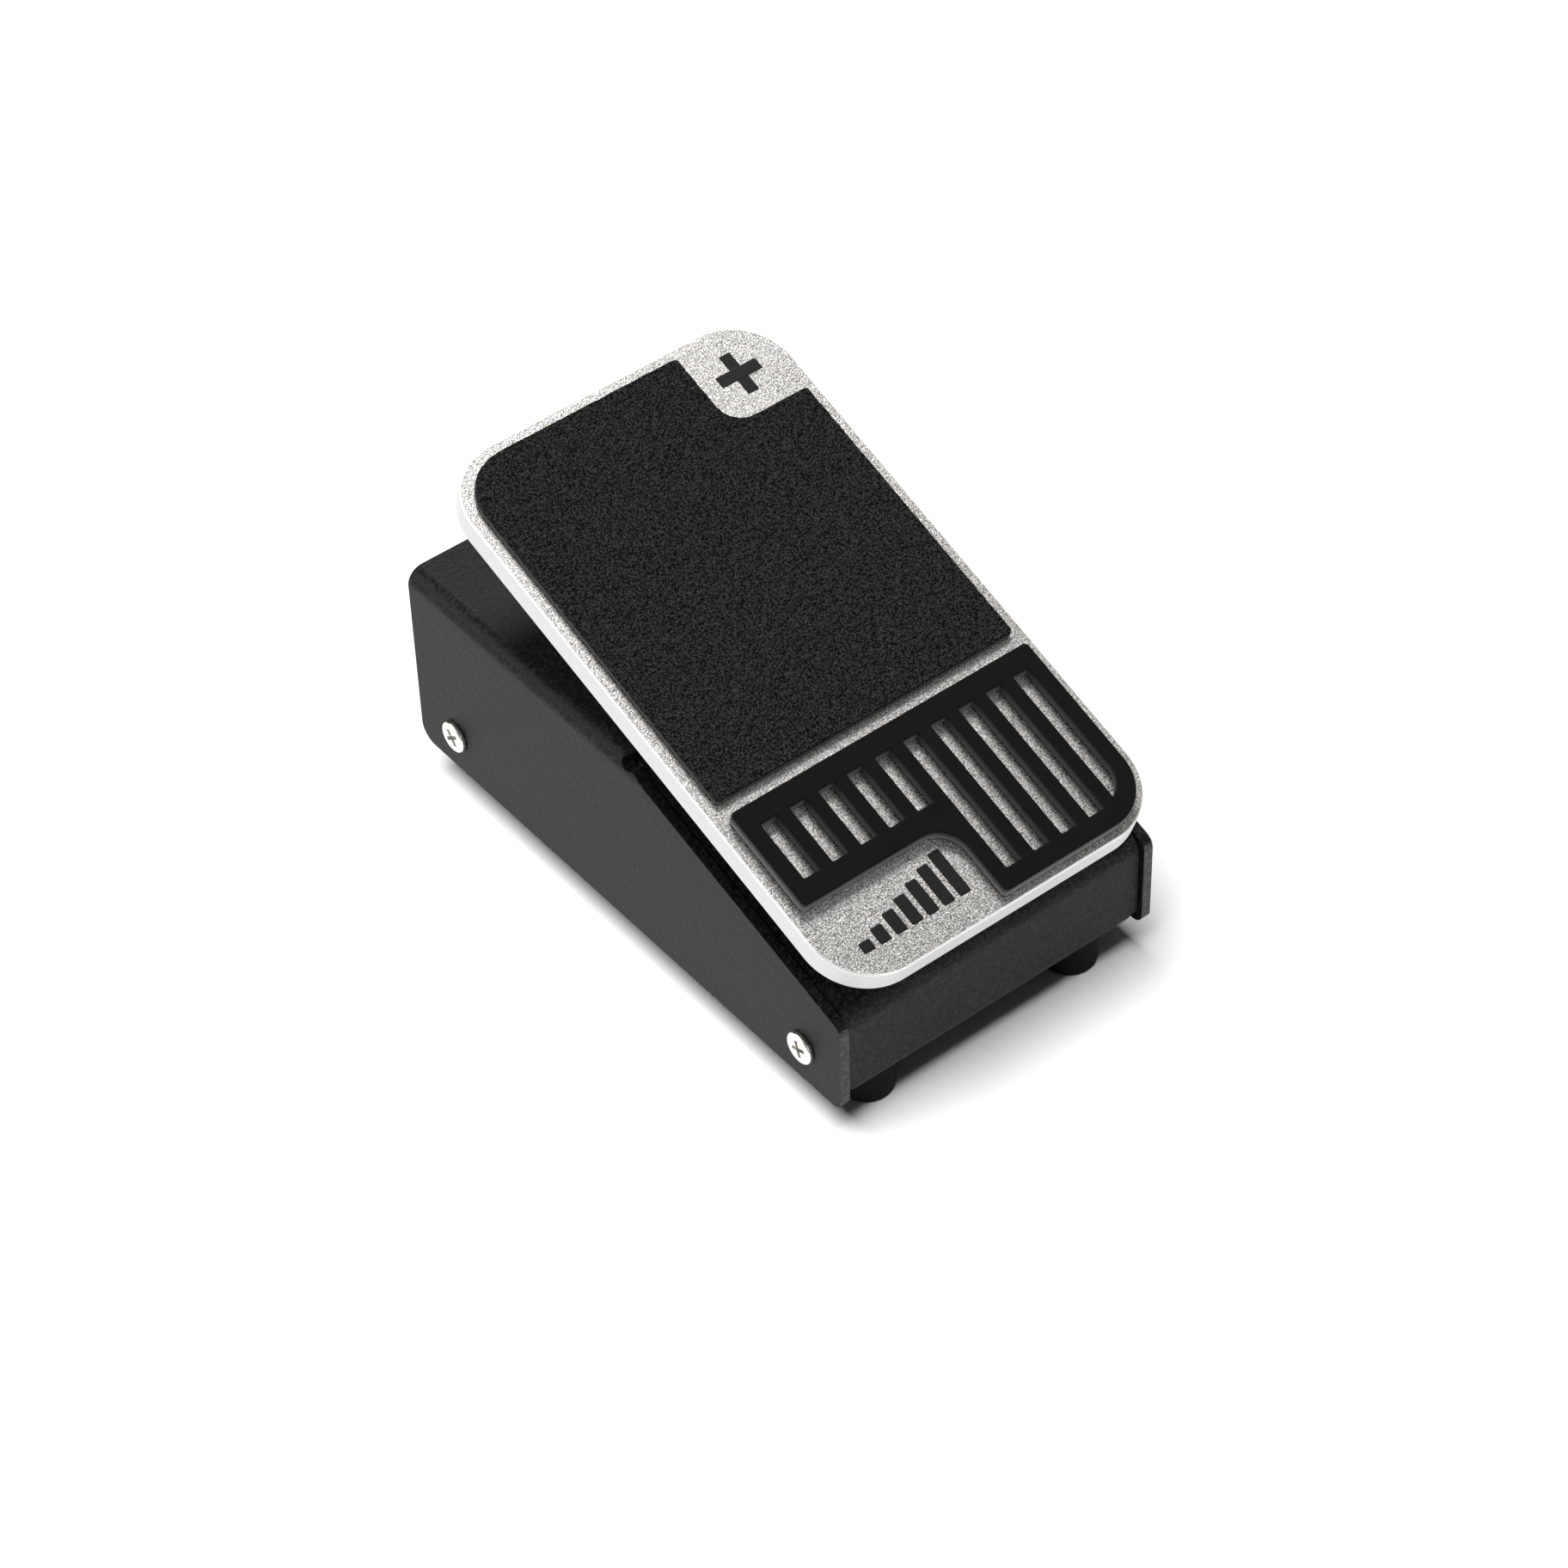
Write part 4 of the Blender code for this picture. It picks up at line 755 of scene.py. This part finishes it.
def make_screws():
    """Every screw in the pedal, on the axis and seat of its CAD node."""
    kinds = {
        "side_screw": (2.75 * MM, 0.85 * MM, 7.5 * MM),
        "foot_screw": (2.35 * MM, 1.3 * MM, 5.2 * MM),
        "frame_screw": (2.8 * MM, 1.3 * MM, 4.0 * MM),
        "yoke_screw": (2.6 * MM, 1.2 * MM, 4.4 * MM),
    }
    down = Vector((0, 0, -1))
    for kind, sizes in kinds.items():
        mesh = screw_blank(kind + "_fine", *sizes)
        nodes = sorted(node for node in NODES if node.startswith(kind))
        for number, node in enumerate(nodes):
            low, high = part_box(node)
            middle = (low + high) / 2
            if kind == "side_screw":
                out = Vector((-1 if middle.x < 0 else 1, 0, 0))
                tip = high.x if middle.x < 0 else low.x
                seat = Vector((tip, middle.y, middle.z)) + out * sizes[2]
            elif kind == "yoke_screw":
                out = TREADLE.to_3x3() @ down
                box_low, box_high = local_box(node)
                box_middle = (box_low + box_high) / 2
                seat = TREADLE @ Vector((box_middle.x, box_middle.y, box_high.z - sizes[2]))
            else:
                out = down
                seat = Vector((middle.x, middle.y, high.z - sizes[2]))
            piece = bpy.data.objects.new(node + "_fine", mesh.copy())
            bpy.context.scene.collection.objects.link(piece)
            spin = Matrix.Rotation(radians(SCREW_TURNS[number % len(SCREW_TURNS)]), 4, "Z")
            piece.data.transform(placed(seat, out) @ spin)
            settle(piece, BODY_OF[node], SLOT_OF[node], node)


# ---------------------------------------------------------------- base pieces
def make_sheet_metal():
    """The two painted sheets, with their paint rounding every edge."""
    refined("cover_shell", 0.28 * MM, 3, "powder_coat_cut")
    refined("base_chassis", 0.22 * MM, 2)


def make_feet():
    for number in range(1, 5):
        node = f"rubber_foot_{number}"
        low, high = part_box(node)
        middle = (low + high) / 2
        top, outer = high.z, (high.x - low.x) / 2
        foot, recess, hole = 4.2 * MM, 2.6 * MM, 1.62 * MM
        recess_floor = top - 1.9 * MM
        profile = [(hole, top), (outer - 0.7 * MM, top)]
        profile += arc((outer - 0.7 * MM, top - 0.5 * MM), 0.5 * MM, 90, 0, 5)[1:]
        profile += [(outer, 1.1 * MM)] + arc((foot - 0.3 * MM, 0.7 * MM), 0.7 * MM, -10, -90, 6)
        profile += [(recess + 0.3 * MM, 0)] + arc((recess + 0.3 * MM, 0.3 * MM), 0.3 * MM, -90, -180, 4)
        profile += [(recess, recess_floor), (hole, recess_floor)]
        piece = turned(node + "_fine", profile, Matrix.Translation((middle.x, middle.y, 0)), 72)
        settle(piece, "base", "smooth_rubber", node)


def make_bumpers():
    for end, _ in ENDS:
        for side, _ in SIDES:
            node = f"{end}_bumper_{side}"
            slope = bumper_axis(node)
            seat, height = bumper_seat(node, slope)
            radius, edge = 4.0 * MM, 0.8 * MM
            profile = [(0, height), (radius - edge, height)]
            profile += arc((radius - edge, height - edge), edge, 90, 0, 6)[1:]
            profile += [(radius, 0.4 * MM), (radius + 0.15 * MM, 0), (0, 0)]
            piece = turned(node + "_fine", profile, placed(seat, slope), 48)
            settle(piece, "base", "smooth_rubber", node)


def bumper_axis(node):
    faces = NODES[node].data.polygons
    upward = [face for face in faces if face.normal.z > 0.5]
    return max(upward, key=lambda face: face.normal.z * face.area).normal.copy()


def bumper_seat(node, axis):
    """The middle of a bumper's foot, and its height."""
    points = [vertex.co for vertex in NODES[node].data.vertices]
    heights = [point.dot(axis) for point in points]
    low, high = min(heights), max(heights)
    foot = [point for point, height in zip(points, heights) if height < low + 0.05 * MM]
    return sum(foot, Vector()) / len(foot), high - low


def hex_outline(radius):
    return [Vector((cos(k * pi / 3), sin(k * pi / 3))) * radius for k in range(6)]


def make_hex_nut(node, axis, bore):
    """A chamfered hexagonal nut in the place of its CAD node."""
    low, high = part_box(node)
    middle = (low + high) / 2
    axis = Vector(axis)
    thick = abs((high - low).dot(axis))
    across = min((high - low)[i] for i in range(3) if abs(axis[i]) < 0.5)
    base = middle - axis * thick / 2
    blank_shape = skin([[(*p, z) for p in hex_outline(across / 2 / cos(pi / 6))] for z in (0, thick)])
    blank = object_from(blank_shape, node + "_fine", placed(base, axis))
    corner = across / 2 / cos(pi / 6)
    chamfer = corner - across / 2 * 0.97
    rise = chamfer * tan(radians(28))
    profile = [(0, thick), (corner - chamfer, thick), (corner + 0.1 * MM, thick - rise * 1.15)]
    profile += [(corner + 0.1 * MM, rise * 1.15), (corner - chamfer, 0), (0, 0)]
    envelope = turned(node + "_envelope", profile, placed(base, axis), 72)
    hole_profile = [(bore + 0.35 * MM, -0.05 * MM), (bore, 0.35 * MM), (bore, thick - 0.35 * MM)]
    hole_profile += [(bore + 0.35 * MM, thick + 0.05 * MM)]
    hole_profile = [(0, thick + 0.05 * MM)] + hole_profile[::-1] + [(0, -0.05 * MM)]
    hole = turned(node + "_hole", hole_profile, placed(base, axis), 48)
    for helper, operation in ((envelope, "INTERSECT"), (hole, "DIFFERENCE")):
        change = blank.modifiers.new(operation, "BOOLEAN")
        change.operation = operation
        change.object = helper
    baked(blank)
    for helper in (envelope, hole):
        bpy.data.objects.remove(helper)
    smooth(blank, 20)
    settle(blank, BODY_OF[node], SLOT_OF[node], node)


def make_jacks():
    """Socket bodies stay as packed but softened; their threads, nuts and washers are made finer."""
    for name in ("input", "output"):
        refined("jack_" + name, 0.25 * MM, 2)
        make_hex_nut("jack_nut_" + name, (0, 1, 0), 4.6 * MM)
        refined("jack_washer_" + name, 0.08 * MM, 2)


def make_the_rest():
    """Every CAD node that no piece stands for yet, softened and given its finish."""
    for node, obj in sorted(NODES.items()):
        if obj.hide_render:
            continue
        refined(node)


# ---------------------------------------------------------------- stage
def make_floor():
    graph = Graph("floor_white")
    cloud = graph.noise(0.6, 2.0)
    tone = graph.mix(cloud, (0.90, 0.90, 0.90), (0.93, 0.93, 0.93))
    graph.surface(tone, 0.9, 0.0, Specular_IOR_Level=0.1)
    shape = bmesh.new()
    bmesh.ops.create_grid(shape, x_segments=2, y_segments=2, size=4.0)
    floor = object_from(shape, "floor", Matrix.Translation((0, 0, -0.02 * MM)))
    floor.data.materials.append(graph.material)
    return floor


def only_for(lamp, objects, name):
    """Keeps a lamp's light for these objects."""
    group = bpy.data.collections.new(name)
    for obj in objects:
        group.objects.link(obj)
    lamp.light_linking.receiver_collection = group


def make_light(floor):
    """A key from above the toe's right corner and four fills for the pedal; the floor has its own softbox."""
    world = bpy.data.worlds.new("studio")
    world.use_nodes = True
    background = world.node_tree.nodes["Background"]
    background.inputs["Color"].default_value = (1, 1, 1, 1)
    background.inputs["Strength"].default_value = 0.05
    bpy.context.scene.world = world
    pedal = [obj for obj in bpy.context.scene.objects if obj.type == "MESH" and obj is not floor]
    target = Vector((0, 0, 0.03))
    for name, place, size, power, lit in (
        ("key_softbox", (0.43, 0.67, 1.39), (0.56, 0.56), 19, pedal),
        ("left_softbox", (-1.4, 0.2, 0.5), (1.0, 0.6), 2.5, pedal),
        ("toe_left_softbox", (-1.15, 0.95, 0.70), (0.9, 0.9), 14, pedal),
        ("front_fill", (0.2, -1.4, 0.7), (0.9, 0.7), 8, pedal),
        ("top_fill", (0.0, 0.0, 1.6), (3.4, 3.4), 13, pedal),
        ("floor_softbox", (-0.40, 0.0, 1.55), (1.2, 1.2), 50, [floor]),
    ):
        lamp = bpy.data.lights.new(name, "AREA")
        lamp.shape = "RECTANGLE"
        lamp.size, lamp.size_y = size
        lamp.energy = power
        obj = bpy.data.objects.new(name, lamp)
        bpy.context.scene.collection.objects.link(obj)
        obj.matrix_world = placed(place, Vector(place) - target)
        only_for(obj, lit, name + "_receivers")


def make_camera():
    lens = bpy.data.cameras.new("camera")
    lens.lens = 109.21
    lens.sensor_width = 36
    lens.clip_start, lens.clip_end = 0.01, 20
    camera = bpy.data.objects.new("camera", lens)
    bpy.context.scene.collection.objects.link(camera)
    azimuth, elevation, roll = radians(-37.68), radians(44.44), radians(-1.765)
    turn = Matrix.Rotation(azimuth, 4, "Z") @ Matrix.Rotation(pi / 2 - elevation, 4, "X")
    place = Matrix.Translation((-321.14 * MM, -417.52 * MM, 531.99 * MM))
    camera.matrix_world = place @ turn @ Matrix.Rotation(roll, 4, "Z")
    bpy.context.scene.camera = camera


make_camera()
make_sheet_metal()
make_plate()
make_grip_pad()
make_heel_pad()
make_marks()
make_screws()
make_feet()
make_bumpers()
make_jacks()
make_the_rest()
make_light(make_floor())
bpy.context.scene.view_settings.view_transform = "Standard"
bpy.context.scene.view_settings.look = "None"
